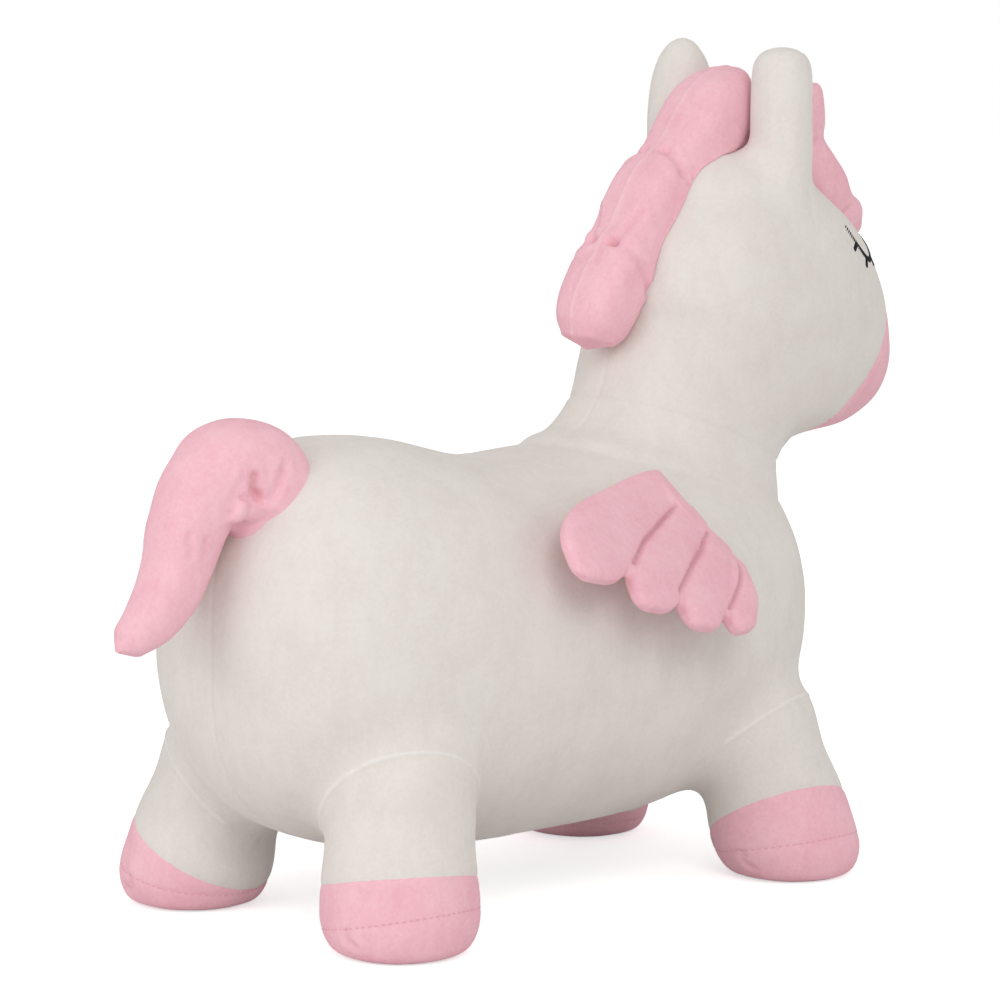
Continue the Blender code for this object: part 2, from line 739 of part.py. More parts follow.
def seam_sides(front, name, height, tilt_deg, heading_deg, cutters):
    """Cutters above and below a left leg's seam, which rises in its heading from +X."""
    tilt = math.radians(tilt_deg)
    heading = math.radians(heading_deg)
    rising = Vector((math.cos(heading), math.sin(heading), 0.0))
    up = Vector((0, 0, math.cos(tilt))) - rising * math.sin(tilt)
    place = foot_centre(front, 1) + Vector((0, 0, height))
    half_gap = FIT_GAP / 2
    return (half_space("above_" + name, place - up * half_gap, up, cutters),
            half_space("below_" + name, place + up * half_gap, -up, cutters))


def make_leg_covers(parts, cutters, forms):
    """Each leg has a sleeve, a hoof band and a sole, stacked up the leg."""
    pieces = {}
    crowns = {
        "front_left": (FRONT_CROWN_HEIGHT, FRONT_CROWN_TILT_DEG, FRONT_CROWN_HEADING_DEG),
        "hind_left": (HIND_CROWN_HEIGHT, HIND_CROWN_TILT_DEG, HIND_CROWN_HEADING_DEG),
    }
    rim = (SOLE_HEIGHT, SOLE_TILT_DEG, SOLE_HEADING_DEG)
    for front, corner in left_legs():
        shell = cut(copy_of(forms[corner, "outer"], f"form_shell_{corner}", cutters),
                    forms[corner, "inner"], forms["trunk", "clear"])
        above_crown, below_crown = seam_sides(front, "crown", *crowns[corner], cutters)
        above_sole, below_sole = seam_sides(front, "sole", *rim, cutters)
        sleeve = cut(copy_of(shell, f"leg_sleeve_{corner}", parts), below_crown)
        hoof = cut(copy_of(shell, f"hoof_cover_{corner}", parts), above_crown, below_sole)
        sole = cut(copy_of(shell, f"hoof_sole_{corner}", parts), above_sole)
        for piece in (sleeve, hoof, sole):
            pieces.update(with_mirror(piece))
    return pieces


def make_ear_covers(parts, cutters, forms):
    """Each ear is a back panel and a front lining, sewn along its two edges."""
    half_gap = FIT_GAP / 2
    shell = cut(copy_of(forms["ear", "outer"], "form_ear_shell", cutters),
                forms["ear", "inner"], forms["trunk", "clear"])
    seam_x = ear_base(1).x + EAR_SEAM_SHARE * EAR_DIAMETER
    ahead = half_space("ahead_of_seam", (seam_x - half_gap, 0, 0), (1, 0, 0), cutters)
    behind = half_space("behind_seam", (seam_x + half_gap, 0, 0), (-1, 0, 0), cutters)
    back = cut(copy_of(shell, "ear_cover_left", parts), ahead)
    lining = cut(copy_of(shell, "ear_lining_left", parts), behind)
    return {**with_mirror(back), **with_mirror(lining)}


def make_hair(parts, forms):
    """Mane down the nape and forelock over the brow, sewn on to the head."""
    drawing = head_drawing()
    mane = add_object("mane", swept_mesh("mane", MANE_SHARES, MANE_END_SHARES, drawing), parts)
    lock = swept_mesh("forelock", FORELOCK_SHARES, FORELOCK_END_SHARES, drawing)
    forelock = add_object("forelock", lock, parts)
    cut(mane, forms["trunk", "clear"])
    cut(forelock, forms["trunk", "clear"])
    return {"mane": mane, "forelock": forelock}


def make_eyes(parts, cutters):
    """Closed eyelids and lashes of raised thread on the front of the cheeks."""
    face = add_object("form_head_thread", head_mesh(-FIT_GAP - THREAD_RAISE), cutters)
    skin = add_object("form_head_skin", head_mesh(-FIT_GAP), cutters)
    bend = np.radians(np.linspace(*EYE_BEND_DEG, EYE_STEPS))
    outer = [(EYE_WIDTH / 2 * math.cos(a), EYE_DROP * math.sin(a)) for a in bend]
    inner = [(x * EYE_INNER_SHARE, y + EYE_THREAD) for x, y in reversed(outer)]
    reach = EYE_REACH_SHARE * head_drawing()[0]
    eye = flat_outline("eye_left", [outer + inner], reach, parts)
    for place in LASH_SHARES:
        lash = box("lash", (EYE_THREAD, EYE_LASH, reach), (0, -EYE_LASH / 2, 0), cutters)
        root = (place * EYE_WIDTH, EYE_THREAD / 2 - EYE_DROP * math.sqrt(1 - (2 * place) ** 2), 0)
        fan = math.radians(place * LASH_FAN_DEG)
        lash.data.transform(Matrix.Translation(root) @ Matrix.Rotation(fan, 4, "Z"))
        join(eye, lash)
    towards = math.radians(EYE_TURN_DEG)
    out = Vector((math.cos(towards), math.sin(towards), 0.0))
    across = Vector((-out.y, out.x, 0.0))
    stand = Matrix((across, Vector((0, 0, 1)), out)).transposed().to_4x4()
    placed(eye.data, Matrix.Translation(on_head(*EYE_PLACE_SHARES) + out * reach) @ stand)
    keep_inside(eye, face)
    cut(eye, skin)
    return with_mirror(eye)


def knuckle(name, radius, half_width, collection, rows=7):
    """A barrel turned about the tail's hinge line, which runs across the body."""
    profile = [(0.0, -half_width)]
    for i in range(1, rows):
        share = -1 + 2 * i / rows
        profile.append((radius * (1 - abs(share) ** 4) ** 0.25, share * half_width))
    profile.append((0.0, half_width))
    piece = turned(name, profile, (0, 0, 0), collection, 28)
    piece.data.transform(Matrix.Translation(tail_hinge()) @ Matrix.Rotation(math.pi / 2, 4, "X"))
    return piece


def make_tail(parts, cutters, forms):
    """Sewn root patch on the rump, and the stuffed tail that lifts on it."""
    hinge = tail_hinge()
    form = swept_mesh("tail_root", TAIL_SHARES, TAIL_END_SHARES, tail_drawing())
    root = add_object("tail_root", form, parts)
    tail = copy_of(root, "tail", parts)
    for angle, turn in zip(TAIL_ROOT_SECTOR_DEG, (-1, 1)):
        flank = math.radians(angle + 90 * turn)
        normal = (math.cos(flank), 0.0, math.sin(flank))
        cut(root, half_space("root_side", hinge, normal, cutters))
    cut(root, forms["trunk", "clear"])
    cut(root, knuckle("knuckle_clear", TAIL_KNUCKLE_RADIUS + FIT_GAP,
                      TAIL_KNUCKLE_HALF_WIDTH + FIT_GAP, cutters))
    front = math.radians(TAIL_FRONT_DEG)
    cut(tail, half_space("tail_front", hinge, (math.cos(front), 0.0, math.sin(front)), cutters))
    cut(tail, forms["trunk", "clear"])
    join(tail, knuckle("knuckle_solid", TAIL_KNUCKLE_RADIUS, TAIL_KNUCKLE_HALF_WIDTH, cutters))
    set_origin(tail, hinge)
    return {"tail_root": root, "tail": tail}


def flank_point(x, lean):
    """Where the left flank faces outwards and up by that lean, at a place along X."""
    place = (x - BODY_CENTRE_X) / (BODY_LENGTH / 2)
    width = end_taper(place) * BODY_WIDTH / 2
    rise = end_taper(place) * back_rise(place)
    ratio = (width / rise * math.tan(lean)) ** (1 / (TORSO_SQUARENESS - 1))
    z_share = (1 + ratio ** TORSO_SQUARENESS) ** (-1 / TORSO_SQUARENESS)
    return Vector((x, ratio * z_share * width, BODY_MID_Z + z_share * rise))


def wing_matrix():
    """From wing coordinates (trailing, down the sewn edge, outwards) to the left wing."""
    lean = math.radians(WING_LEAN_DEG)
    drop = math.radians(WING_EDGE_DROP_DEG)
    rest = math.radians(WING_REST_DEG)
    flat = Vector((0.0, math.sin(lean), math.cos(lean)))
    down = Vector((0.0, math.cos(lean), -math.sin(lean)))
    edge = Vector((math.cos(drop), 0.0, 0.0)) + down * math.sin(drop)
    back = Vector((-math.sin(drop), 0.0, 0.0)) + down * math.cos(drop)
    trail = back * math.cos(rest) + flat * math.sin(rest)
    outwards = flat * math.cos(rest) - back * math.sin(rest)
    base = flank_point(WING_X, lean) - down * WING_CLIMB + flat * WING_AXIS_STANDOFF
    return Matrix.Translation(base) @ Matrix((trail, edge, outwards)).transposed().to_4x4()


def feather_mesh(root_share, root_across, tip_share, tip_across, root_half, wide_half):
    """One padded feather: flat lens sections from the sewn edge to a round tip."""
    start = Vector((root_share, root_across, 0.0)) * WING_EDGE_LENGTH
    tip = Vector((tip_share, tip_across, 0.0)) * WING_EDGE_LENGTH
    along = (tip - start).normalized()
    across = Vector((-along.y, along.x, 0.0))
    rings = []
    for share in FEATHER_STATION_SHARES:
        swell = min(1.0, share / FEATHER_SWELL_SHARE)
        width = root_half + (wide_half - root_half) * math.sin(swell * math.pi / 2)
        tapering = max(0.0, (share - FEATHER_ROUND_SHARE) / (1 - FEATHER_ROUND_SHARE))
        blunt = math.sqrt(1 - tapering ** 2)
        half = width * blunt * WING_EDGE_LENGTH
        filled = min(1.0, share / FEATHER_FILL_SHARE)
        thick = WING_THICKNESS / 2 * np.interp(filled, (0, 1), (FEATHER_ROOT_THICKNESS_SHARE, 1.0))
        thick *= np.interp(blunt, (0, 1), (FEATHER_RIM_THICKNESS_SHARE, 1.0))
        centre = start + (tip - start) * share
        ring = []
        for angle in turns(FEATHER_SIDES):
            c, s = rounded(angle, FEATHER_SQUARENESS)
            ring.append(centre + across * (half * c) + Vector((0, 0, thick * s)))
        rings.append(ring)
    return mesh_from_rings("feather", rings, None, tip)


def make_wings(parts, cutters, forms):
    """Quilted wings that swing on a bead held in a tape sewn to the shoulder."""
    middle = WING_EDGE_LENGTH / 2
    place = wing_matrix()
    along_edge = place @ Matrix.Translation((0, middle, 0)) @ Matrix.Rotation(math.pi / 2, 4, "X")
    tape_size = Vector((2 * WING_BEAD_RADIUS, WING_BEAD_LENGTH, WING_TAPE_DEPTH))
    tape_centre = (0.0, middle, -WING_TAPE_DEPTH / 2 - WING_TAPE_LIP_SHARE * WING_BEAD_RADIUS)
    tape = box("wing_tape_left", tape_size, tape_centre, parts)
    placed(tape.data, place)
    groove = cylinder("groove", WING_BEAD_RADIUS + FIT_GAP, 2 * WING_BEAD_LENGTH, along_edge, cutters, 20)
    cut(tape, groove, forms["trunk", "clear"])

    feathers = [placed(feather_mesh(*row), place) for row in FEATHER_SHARES]
    wing = add_object("wing_left", feathers[0], parts)
    join(wing, *[add_object("feather_form", feather, cutters) for feather in feathers[1:]])
    room = box("tape_room", tape_size + Vector((2, 2, 2)) * FIT_GAP, tape_centre, cutters)
    placed(room.data, place)
    bead = cylinder("bead", WING_BEAD_RADIUS, WING_BEAD_LENGTH, along_edge, cutters, 20)
    cut(wing, room, forms["trunk", "clear"])
    join(wing, bead)
    set_origin(wing, place @ Vector((0, middle, 0)))
    return {**with_mirror(wing), **with_mirror(tape)}


def tooth_row():
    """Outline of the right side of the zip: a straight edge with square teeth."""
    inner = TOOTH_LENGTH / 2
    root = -inner - TOOTH_GAP
    back = root - TOOTH_STEM
    half_tooth = (TOOTH_PITCH / 2 - TOOTH_GAP) / 2
    count = int(2 * SLOT_HALF_LENGTH / TOOTH_PITCH) - 3
    start = -count * TOOTH_PITCH / 2
    outline = [(start - half_tooth, back)]
    for i in range(count):
        middle = start + i * TOOTH_PITCH
        outline.append((middle - half_tooth, root))
        outline.append((middle - half_tooth, inner))
        outline.append((middle + half_tooth, inner))
        outline.append((middle + half_tooth, root))
    outline.append((outline[-1][0], back))
    return outline


def zip_level():
    return BELLY_Z + COVER_WALL + FIT_GAP + TAPE_THICKNESS / 2


def make_zip(parts, cutters):
    """Two toothed tapes behind the belly slot, a slider on them and its tab."""
    level = zip_level()
    right = flat_outline("zip_tape_right", [tooth_row()], TOOTH_THICKNESS, parts)
    near = TOOTH_LENGTH / 2 + TOOTH_GAP + TOOTH_STEM / 3
    strip = box("tape_strip", (TAPE_LENGTH, TAPE_HALF_WIDTH - near, TAPE_THICKNESS),
                (0.0, -(TAPE_HALF_WIDTH + near) / 2, 0.0), cutters)
    join(right, strip)
    left = copy_of(right, "zip_tape_left", parts)
    mirror = Matrix.Diagonal((1.0, -1.0, 1.0, 1.0))
    placed(left.data, Matrix.Translation((ZIP_CENTRE_X + TOOTH_PITCH / 2, 0, level)) @ mirror)
    placed(right.data, Matrix.Translation((ZIP_CENTRE_X, 0, level)))
    return {"zip_tape_left": left, "zip_tape_right": right, **make_slider(parts, cutters, level)}


def slider_rest_x():
    return ZIP_CENTRE_X - SLOT_HALF_LENGTH + 2 * ZIP_STOP_LENGTH + SLIDER_LENGTH / 2


def make_slider(parts, cutters, level):
    """Two plates joined by a post at one end, with a bridge for the tab."""
    x = slider_rest_x()
    half_teeth = TOOTH_THICKNESS / 2 + FIT_GAP
    plate = (SLIDER_LENGTH, 2 * SLIDER_HALF_WIDTH, SLIDER_PLATE)
    plate_z = half_teeth + SLIDER_PLATE / 2
    slider = box("zip_slider", plate, (x, 0, level - plate_z), parts)
    inner = box("slider_inner", plate, (x, 0, level + plate_z), cutters)
    post_x = x - (SLIDER_LENGTH - POST_LENGTH) / 2
    post_size = (POST_LENGTH, POST_WIDTH, 2 * half_teeth + SLIDER_PLATE)
    join(slider, inner, box("slider_post", post_size, (post_x, 0, level), cutters))

    under = level - half_teeth - SLIDER_PLATE
    tab_z = BELLY_Z - FIT_GAP - TAB_THICKNESS / 2
    eye_depth = under - tab_z + TAB_THICKNESS / 2 + FIT_GAP
    depth = eye_depth + BRIDGE_BAR
    bridge = box("slider_bridge", (BRIDGE_LENGTH, BRIDGE_WIDTH, depth + SLIDER_PLATE / 2),
                 (x, 0, under - depth / 2 + SLIDER_PLATE / 4), cutters)
    cut(bridge, box("bridge_eye", (BRIDGE_EYE_LENGTH, 2 * BRIDGE_WIDTH, eye_depth),
                    (x, 0, under - eye_depth / 2), cutters))
    join(slider, bridge)
    return {"zip_slider": slider, **make_zip_stops(parts, level), **make_pull_tab(parts, x, tab_z)}


def make_zip_stops(parts, level):
    """A small block across the teeth at each end of the zip."""
    stops = {}
    for end, name in ((-1, "zip_stop_hind"), (1, "zip_stop_front")):
        place = (ZIP_CENTRE_X + end * (SLOT_HALF_LENGTH - ZIP_STOP_LENGTH), 0.0, level)
        stops[name] = box(name, (ZIP_STOP_LENGTH, TOOTH_LENGTH, TOOTH_THICKNESS), place, parts)
    return stops


def make_pull_tab(parts, x, tab_z):
    """Flat tab whose bar turns in the slider's bridge; its origin is that bar."""
    half = TAB_WIDTH / 2
    near = -TAB_BAR / 2
    round_x = near + TAB_LENGTH - half
    rounding = np.linspace(-math.pi / 2, math.pi / 2, 9)[1:-1]
    outer = [(near, -half), (round_x, -half)]
    outer += [(round_x + half * math.cos(a), half * math.sin(a)) for a in rounding]
    outer += [(round_x, half), (near, half)]
    eye_near = TAB_BAR / 2
    eye_far = eye_near + TAB_EYE_LENGTH
    side = TAB_EYE_WIDTH / 2
    hole = [(eye_near, -side), (eye_far, -side), (eye_far, side), (eye_near, side)]
    tab = flat_outline("pull_tab", [outer, hole], TAB_THICKNESS, parts)
    tab.location = (x - TAB_BAR / 4, 0, tab_z)
    return {"pull_tab": tab}


def make_valve(parts):
    """Valve seat welded into the dimple's roof, and the plug pushed into it."""
    roof = bladder_belly_z() + DIMPLE_DEPTH
    seat_profile = [
        (VALVE_BORE, -VALVE_FLANGE - FIT_GAP), (VALVE_FLANGE_RADIUS, -VALVE_FLANGE - FIT_GAP),
        (VALVE_FLANGE_RADIUS, -FIT_GAP), (VALVE_RADIUS, -FIT_GAP),
        (VALVE_RADIUS, VALVE_SEAT_RISE), (VALVE_BORE, VALVE_SEAT_RISE),
    ]
    seat = turned("valve_seat", seat_profile, (VALVE_X, 0, roof), parts)
    stem = VALVE_BORE - FIT_GAP
    top = -VALVE_FLANGE - 2 * FIT_GAP
    under = top - PLUG_DISC
    plug_profile = [
        (0.0, under - PLUG_KNOB), (PLUG_KNOB_RADIUS, under - PLUG_KNOB), (PLUG_KNOB_RADIUS, under),
        (PLUG_DISC_RADIUS, under), (PLUG_DISC_RADIUS, top), (stem, top),
        (stem, PLUG_STEM_RISE - PLUG_STEM_TAPER), (stem - PLUG_CHAMFER, PLUG_STEM_RISE),
        (0.0, PLUG_STEM_RISE),
    ]
    plug = turned("valve_plug", plug_profile, (VALVE_X, 0, roof), parts)
    return {"valve_seat": seat, "valve_plug": plug}


def skins():
    return {
        "white": material("white_plush", GREY_WHITE, 0.95),
        "pink": material("pink_plush", PINK, 0.95),
        "rubber": material("bladder_rubber", RUBBER_GREY, 0.55),
        "tape": material("zip_tape", ZIP_WHITE, 0.85),
        "plastic": material("zip_plastic", ZIP_WHITE, 0.45),
        "valve": material("valve_plastic", (0.82, 0.82, 0.80), 0.40),
        "thread": material("black_thread", THREAD_BLACK, 0.70),
    }


def skin_name(node):
    """Which skin a piece wears, from the words in its name."""
    words = {
        "pink": ("muzzle", "hoof", "mane", "forelock", "tail", "wing"),
        "rubber": ("air_bladder",),
        "tape": ("zip_tape",),
        "plastic": ("zip_slider", "zip_stop", "pull_tab"),
        "thread": ("eye",),
        "valve": ("valve",),
    }
    for skin, names in words.items():
        if any(node.startswith(name) for name in names):
            return skin
    return "white"


def build():
    for old in list(bpy.data.objects):
        bpy.data.objects.remove(old)
    parts = bpy.data.collections.new("ride_on_animal")
    cutters = bpy.data.collections.new("cutters")
    bpy.context.scene.collection.children.link(parts)
    bpy.context.scene.collection.children.link(cutters)

    forms = make_forms(cutters)
    pieces = {"air_bladder": make_bladder(parts, cutters)}
    pieces.update(make_valve(parts))
    pieces.update(make_trunk_covers(parts, cutters, forms))
    pieces.update(make_leg_covers(parts, cutters, forms))
    pieces.update(make_ear_covers(parts, cutters, forms))
    pieces.update(make_hair(parts, forms))
    pieces.update(make_eyes(parts, cutters))
    pieces.update(make_tail(parts, cutters, forms))
    pieces.update(make_wings(parts, cutters, forms))
    pieces.update(make_zip(parts, cutters))

    wardrobe = skins()
    for name, piece in pieces.items():
        finish(piece, wardrobe[skin_name(name)])


build()
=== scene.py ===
"""Looks of a bouncy ride-on animal: plush skin, stuffed hair, quilted wings.

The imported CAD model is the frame.  +X is the nose, +Y the animal's left, +Z up.
"""
import math

import bmesh
import bpy
import numpy as np
from mathutils import Matrix, Vector, noise
from mathutils.bvhtree import BVHTree


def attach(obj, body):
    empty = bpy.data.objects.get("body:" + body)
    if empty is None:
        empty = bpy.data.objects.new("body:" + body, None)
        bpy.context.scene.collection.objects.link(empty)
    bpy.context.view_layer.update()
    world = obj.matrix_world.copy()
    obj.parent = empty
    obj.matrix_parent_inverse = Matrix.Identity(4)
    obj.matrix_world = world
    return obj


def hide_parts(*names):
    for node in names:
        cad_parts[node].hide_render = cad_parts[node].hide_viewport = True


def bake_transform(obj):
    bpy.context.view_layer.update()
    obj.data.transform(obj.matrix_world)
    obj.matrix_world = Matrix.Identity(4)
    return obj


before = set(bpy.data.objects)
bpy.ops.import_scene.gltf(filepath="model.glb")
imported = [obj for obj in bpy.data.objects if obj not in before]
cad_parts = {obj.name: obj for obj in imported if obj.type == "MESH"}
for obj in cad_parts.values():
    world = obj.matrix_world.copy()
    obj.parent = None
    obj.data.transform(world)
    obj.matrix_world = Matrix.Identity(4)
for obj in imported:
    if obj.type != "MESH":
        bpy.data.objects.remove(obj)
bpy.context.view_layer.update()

# Trunk, legs and ears under the plush.  The real cover is sewn from knitted
# panels and blown tight by the bladder inside it, so its forms swell and taper;
# here they are lofted over the same sections as the CAD and felted into one skin.
# A SECTION is the points round a form and its roundness, from circle (2) to boxy.
SKIN_VOXEL = 0.0025
SKIN_SOFTENING = 6
HEIGHT = 0.550
BARREL_CENTRE = (-0.0205, 0.173)
BARREL_HALF = (0.234, 0.128)
BARREL_DEPTH = 0.135
BARREL_BLUNTNESS = 0.8
BARREL_SECTION = (80, 2.2)
BARREL_RINGS = 90
BELLY = 0.0445
RUMP_RISE = 0.1584
BACK_PLACES = (-1.0, -0.80, -0.67, -0.53, -0.41, -0.30, -0.19, -0.06, 0.02, 0.11, 0.23, 0.44, 0.65, 0.87, 1.0)
BACK_SHARES = (1.0, 1.0, 0.948, 0.892, 0.847, 0.792, 0.740, 0.712, 0.708, 0.715, 0.729, 0.747, 0.767,
               0.889, 0.889)
BACK_BLEND = 0.07
# Height, centre, reach back and forward and half width, as shares of HEIGHT; tilt in degrees.
HEAD_STATIONS = (
    (0.313, 0.204, 0.127, 0.155, 0.146, 15.0),
    (0.440, 0.241, 0.200, 0.149, 0.142, 20.0),
    (0.487, 0.256, 0.156, 0.142, 0.130, 21.0),
    (0.528, 0.268, 0.138, 0.138, 0.116, 21.7),
    (0.564, 0.283, 0.140, 0.160, 0.116, 21.0),
    (0.595, 0.314, 0.1605, 0.236, 0.123, 18.0),
    (0.631, 0.341, 0.1755, 0.267, 0.134, 14.0),
    (0.673, 0.350, 0.182, 0.256, 0.140, 8.0),
    (0.733, 0.359, 0.175, 0.2045, 0.137, 0.0),
    (0.783, 0.359, 0.151, 0.1572, 0.129, 0.0),
    (0.818, 0.359, 0.130, 0.103, 0.117, 0.0),
    (0.845, 0.355, 0.104, 0.075, 0.098, 0.0),
    (0.863, 0.350, 0.070, 0.050, 0.068, 0.0),
)
HEAD_TOP = (0.345, 0.872)
HEAD_SECTION = (72, 2.35)
HEAD_RINGS = 100
FEET = {"front_left": (1, 1), "front_right": (1, -1), "hind_left": (-1, 1), "hind_right": (-1, -1)}
LEG_CENTRE_X = -0.0155
LEG_SPREAD = (0.1735, 0.1015)
LEG_RADIUS = 0.0505
LEG_HEIGHT = 0.144
LEG_LEAN = 0.0018
LEG_SECTION = (56, 2.0)
LEG_RINGS = 44
# Share of the height, share of the radius, and radii moved in towards the belly.
LEG_STATIONS = (
    (0.0, 0.66, 0.0),
    (0.035, 0.86, 0.01),
    (0.150, 0.985, 0.04),
    (0.330, 0.955, 0.12),
    (0.440, 0.925, 0.19),
    (0.600, 0.93, 0.34),
    (0.760, 0.97, 0.46),
    (0.880, 0.90, 0.52),
    (0.960, 0.62, 0.55),
)
LEG_TOP_SHARE = 0.55
EAR_BASE = (0.2015, 0.047, 0.422)
EAR_DEPTH_SHARE = 0.94
EAR_SECTION = (40, 2.2)
EAR_RINGS = 36
# Radius, height of the tip, taper and bluntness of the left (1) and right (-1) ear.
EAR_FORMS = {1: (0.0262, 0.5530, 0.17, 7.0), -1: (0.0225, 0.5470, 0.09, 22.0)}


def resampled(rows, count):
    """Rows of numbers read off at even steps along a curve through all of them."""
    rows = np.array(rows, float)
    guides = np.vstack([2 * rows[0] - rows[1], rows, 2 * rows[-1] - rows[-2]])
    fine = []
    for step in np.linspace(0, len(rows) - 1, count):
        i = min(int(step), len(rows) - 2)
        f = step - i
        a, b, c, d = guides[i:i + 4]
        fine.append((2 * b + (c - a) * f + (2 * a - 5 * b + 4 * c - d) * f ** 2
                     + (3 * b - a - 3 * c + d) * f ** 3) / 2)
    return np.array(fine)


def section(count, power):
    """Points round a rounded square of unit size, from circle (2) to boxy."""
    angles = 2 * np.pi * (np.arange(count) + 0.5) / count
    c, s = np.cos(angles), np.sin(angles)
    return np.copysign(np.abs(c) ** (2 / power), c), np.copysign(np.abs(s) ** (2 / power), s)


def lofted(rings, first=None, last=None):
    """A closed shell over rings of equal counts; an end without a tip is flat."""
    shell = bmesh.new()
    rows = [[shell.verts.new(point) for point in ring] for ring in rings]
    for lower, upper in zip(rows, rows[1:]):
        for j in range(len(lower)):
            k = (j + 1) % len(lower)
            shell.faces.new((lower[j], lower[k], upper[k], upper[j]))
    for row, tip in ((rows[0], first), (rows[-1], last)):
        if tip is None:
            shell.faces.new(row)
            continue
        point = shell.verts.new(tip)
        for j in range(len(row)):
            shell.faces.new((row[j], row[(j + 1) % len(row)], point))
    bmesh.ops.recalc_face_normals(shell, faces=shell.faces)
    if shell.calc_volume(signed=True) < 0:
        bmesh.ops.reverse_faces(shell, faces=shell.faces)
    return shell


def barrel():
    c, s = section(*BARREL_SECTION)
    places = -np.cos(np.pi * (np.arange(BARREL_RINGS) + 1) / (BARREL_RINGS + 1))
    places = np.copysign(np.abs(places) ** BARREL_BLUNTNESS, places)
    rings = []
    for place in places:
        taper = (1 - abs(place) ** 3) ** (1 / 3)
        near = place + np.linspace(-BACK_BLEND, BACK_BLEND, 9)
        rise = np.interp(near, BACK_PLACES, BACK_SHARES).mean() * RUMP_RISE
        x = np.full(len(c), BARREL_CENTRE[0] + place * BARREL_HALF[0])
        z = BARREL_CENTRE[1] + s * taper * np.where(s > 0, rise, BARREL_DEPTH)
        rings.append(np.column_stack([x, c * taper * BARREL_HALF[1], np.maximum(z, BELLY)]))
    ends = [(BARREL_CENTRE[0] + side * BARREL_HALF[0], 0.0, BARREL_CENTRE[1]) for side in (-1, 1)]
    return lofted(rings, *ends)


def head():
    c, s = section(*HEAD_SECTION)
    rings = []
    for height, centre, back, front, half, tilt in resampled(HEAD_STATIONS, HEAD_RINGS):
        lean = math.radians(tilt)
        reach = np.where(c > 0, front, back) * HEIGHT * c
        rings.append(np.column_stack([centre * HEIGHT + reach * math.cos(lean), half * HEIGHT * s,
                                      height * HEIGHT - reach * math.sin(lean)]))
    return lofted(rings, None, (HEAD_TOP[0] * HEIGHT, 0.0, HEAD_TOP[1] * HEIGHT))


def foot_of(front, left):
    return np.array([LEG_CENTRE_X + front * LEG_SPREAD[0], left * LEG_SPREAD[1], 0.0])


def leg(front, left):
    c, s = section(*LEG_SECTION)
    rings = []
    for height, radius, moved in resampled(LEG_STATIONS, LEG_RINGS):
        middle = foot_of(front, left) - np.array([front, left, 0.0]) * moved * LEG_RADIUS
        middle[0] -= LEG_LEAN * math.sin(math.pi * max(height, 0.0))
        x = middle[0] + c * radius * LEG_RADIUS
        y = middle[1] + s * radius * LEG_RADIUS
        rings.append(np.column_stack([x, y, np.full(len(c), max(height, 0.0) * LEG_HEIGHT)]))
    top = foot_of(front, left) - np.array([front, left, 0.0]) * LEG_TOP_SHARE * LEG_RADIUS
    return lofted(rings, None, (top[0], top[1], LEG_HEIGHT))


def ear(left):
    """One blunt ear; the two are stuffed a little differently, as sewn toys are."""
    c, s = section(*EAR_SECTION)
    radius, tip, taper, bluntness = EAR_FORMS[left]
    rings = []
    for share in np.sin(np.linspace(0, math.pi / 2, EAR_RINGS))[:-1]:
        size = radius * (1 - taper * share) * (1 - share ** bluntness) ** 0.5
        rings.append(np.column_stack([EAR_BASE[0] + c * size * EAR_DEPTH_SHARE, left * EAR_BASE[1] + s * size,
                                      np.full(len(c), EAR_BASE[2] + share * (tip - EAR_BASE[2]))]))
    return lofted(rings, None, (EAR_BASE[0], left * EAR_BASE[1], tip))


def piece_from(name, shell):
    mesh = bpy.data.meshes.new(name)
    shell.to_mesh(mesh)
    mesh.shade_smooth()
    made = bpy.data.objects.new(name, mesh)
    bpy.context.scene.collection.objects.link(made)
    return made


def joined(shells):
    """Several shells in one, each left whole."""
    whole = bmesh.new()
    for shell in shells:
        form = bpy.data.meshes.new("form")
        shell.to_mesh(form)
        whole.from_mesh(form)
        bpy.data.meshes.remove(form)
    return whole


def felted(shells, voxel, passes):
    """Closed forms that overlap become one even skin with softened joins."""
    piece = piece_from("forms", joined(shells))
    remesh = piece.modifiers.new("Felt", "REMESH")
    remesh.mode = "VOXEL"
    remesh.voxel_size = voxel
    soften = piece.modifiers.new("Soften", "SMOOTH")
    soften.factor = 0.5
    soften.iterations = passes
    bpy.context.view_layer.update()
    skin = bmesh.new()
    skin.from_object(piece, bpy.context.evaluated_depsgraph_get())
    bpy.data.objects.remove(piece)
    return skin


def places_of(shell):
    return np.array([vert.co for vert in shell.verts])


def moved_to(shell, places):
    for vert, place in zip(shell.verts, places):
        vert.co = place
    shell.normal_update()


def eased(shell, weights, passes):
    """Draw each point towards its neighbours, to fill the hollow of a join."""
    places = places_of(shell)
    shell.verts.index_update()
    ends = np.array([[vert.index for vert in edge.verts] for edge in shell.edges]).T
    counts = np.bincount(ends.ravel(), minlength=len(places))
    for _ in range(passes):
        sums = np.column_stack([np.bincount(ends[0], places[ends[1], axis], len(places))
                                + np.bincount(ends[1], places[ends[0], axis], len(places))
                                for axis in range(3)])
        places += weights[:, None] * (sums / counts[:, None] - places)
    moved_to(shell, places)


def between(tree, other, places, reach):
    """1 where two forms meet, falling away over the reach."""
    near = [tree.find_nearest(place, 2.5 * reach)[3] for place in places]
    far = [1.0 if gap is None else gap + other.find_nearest(place)[3] for gap, place in zip(near, places)]
    return np.exp(-(np.array(far) / reach) ** 2)


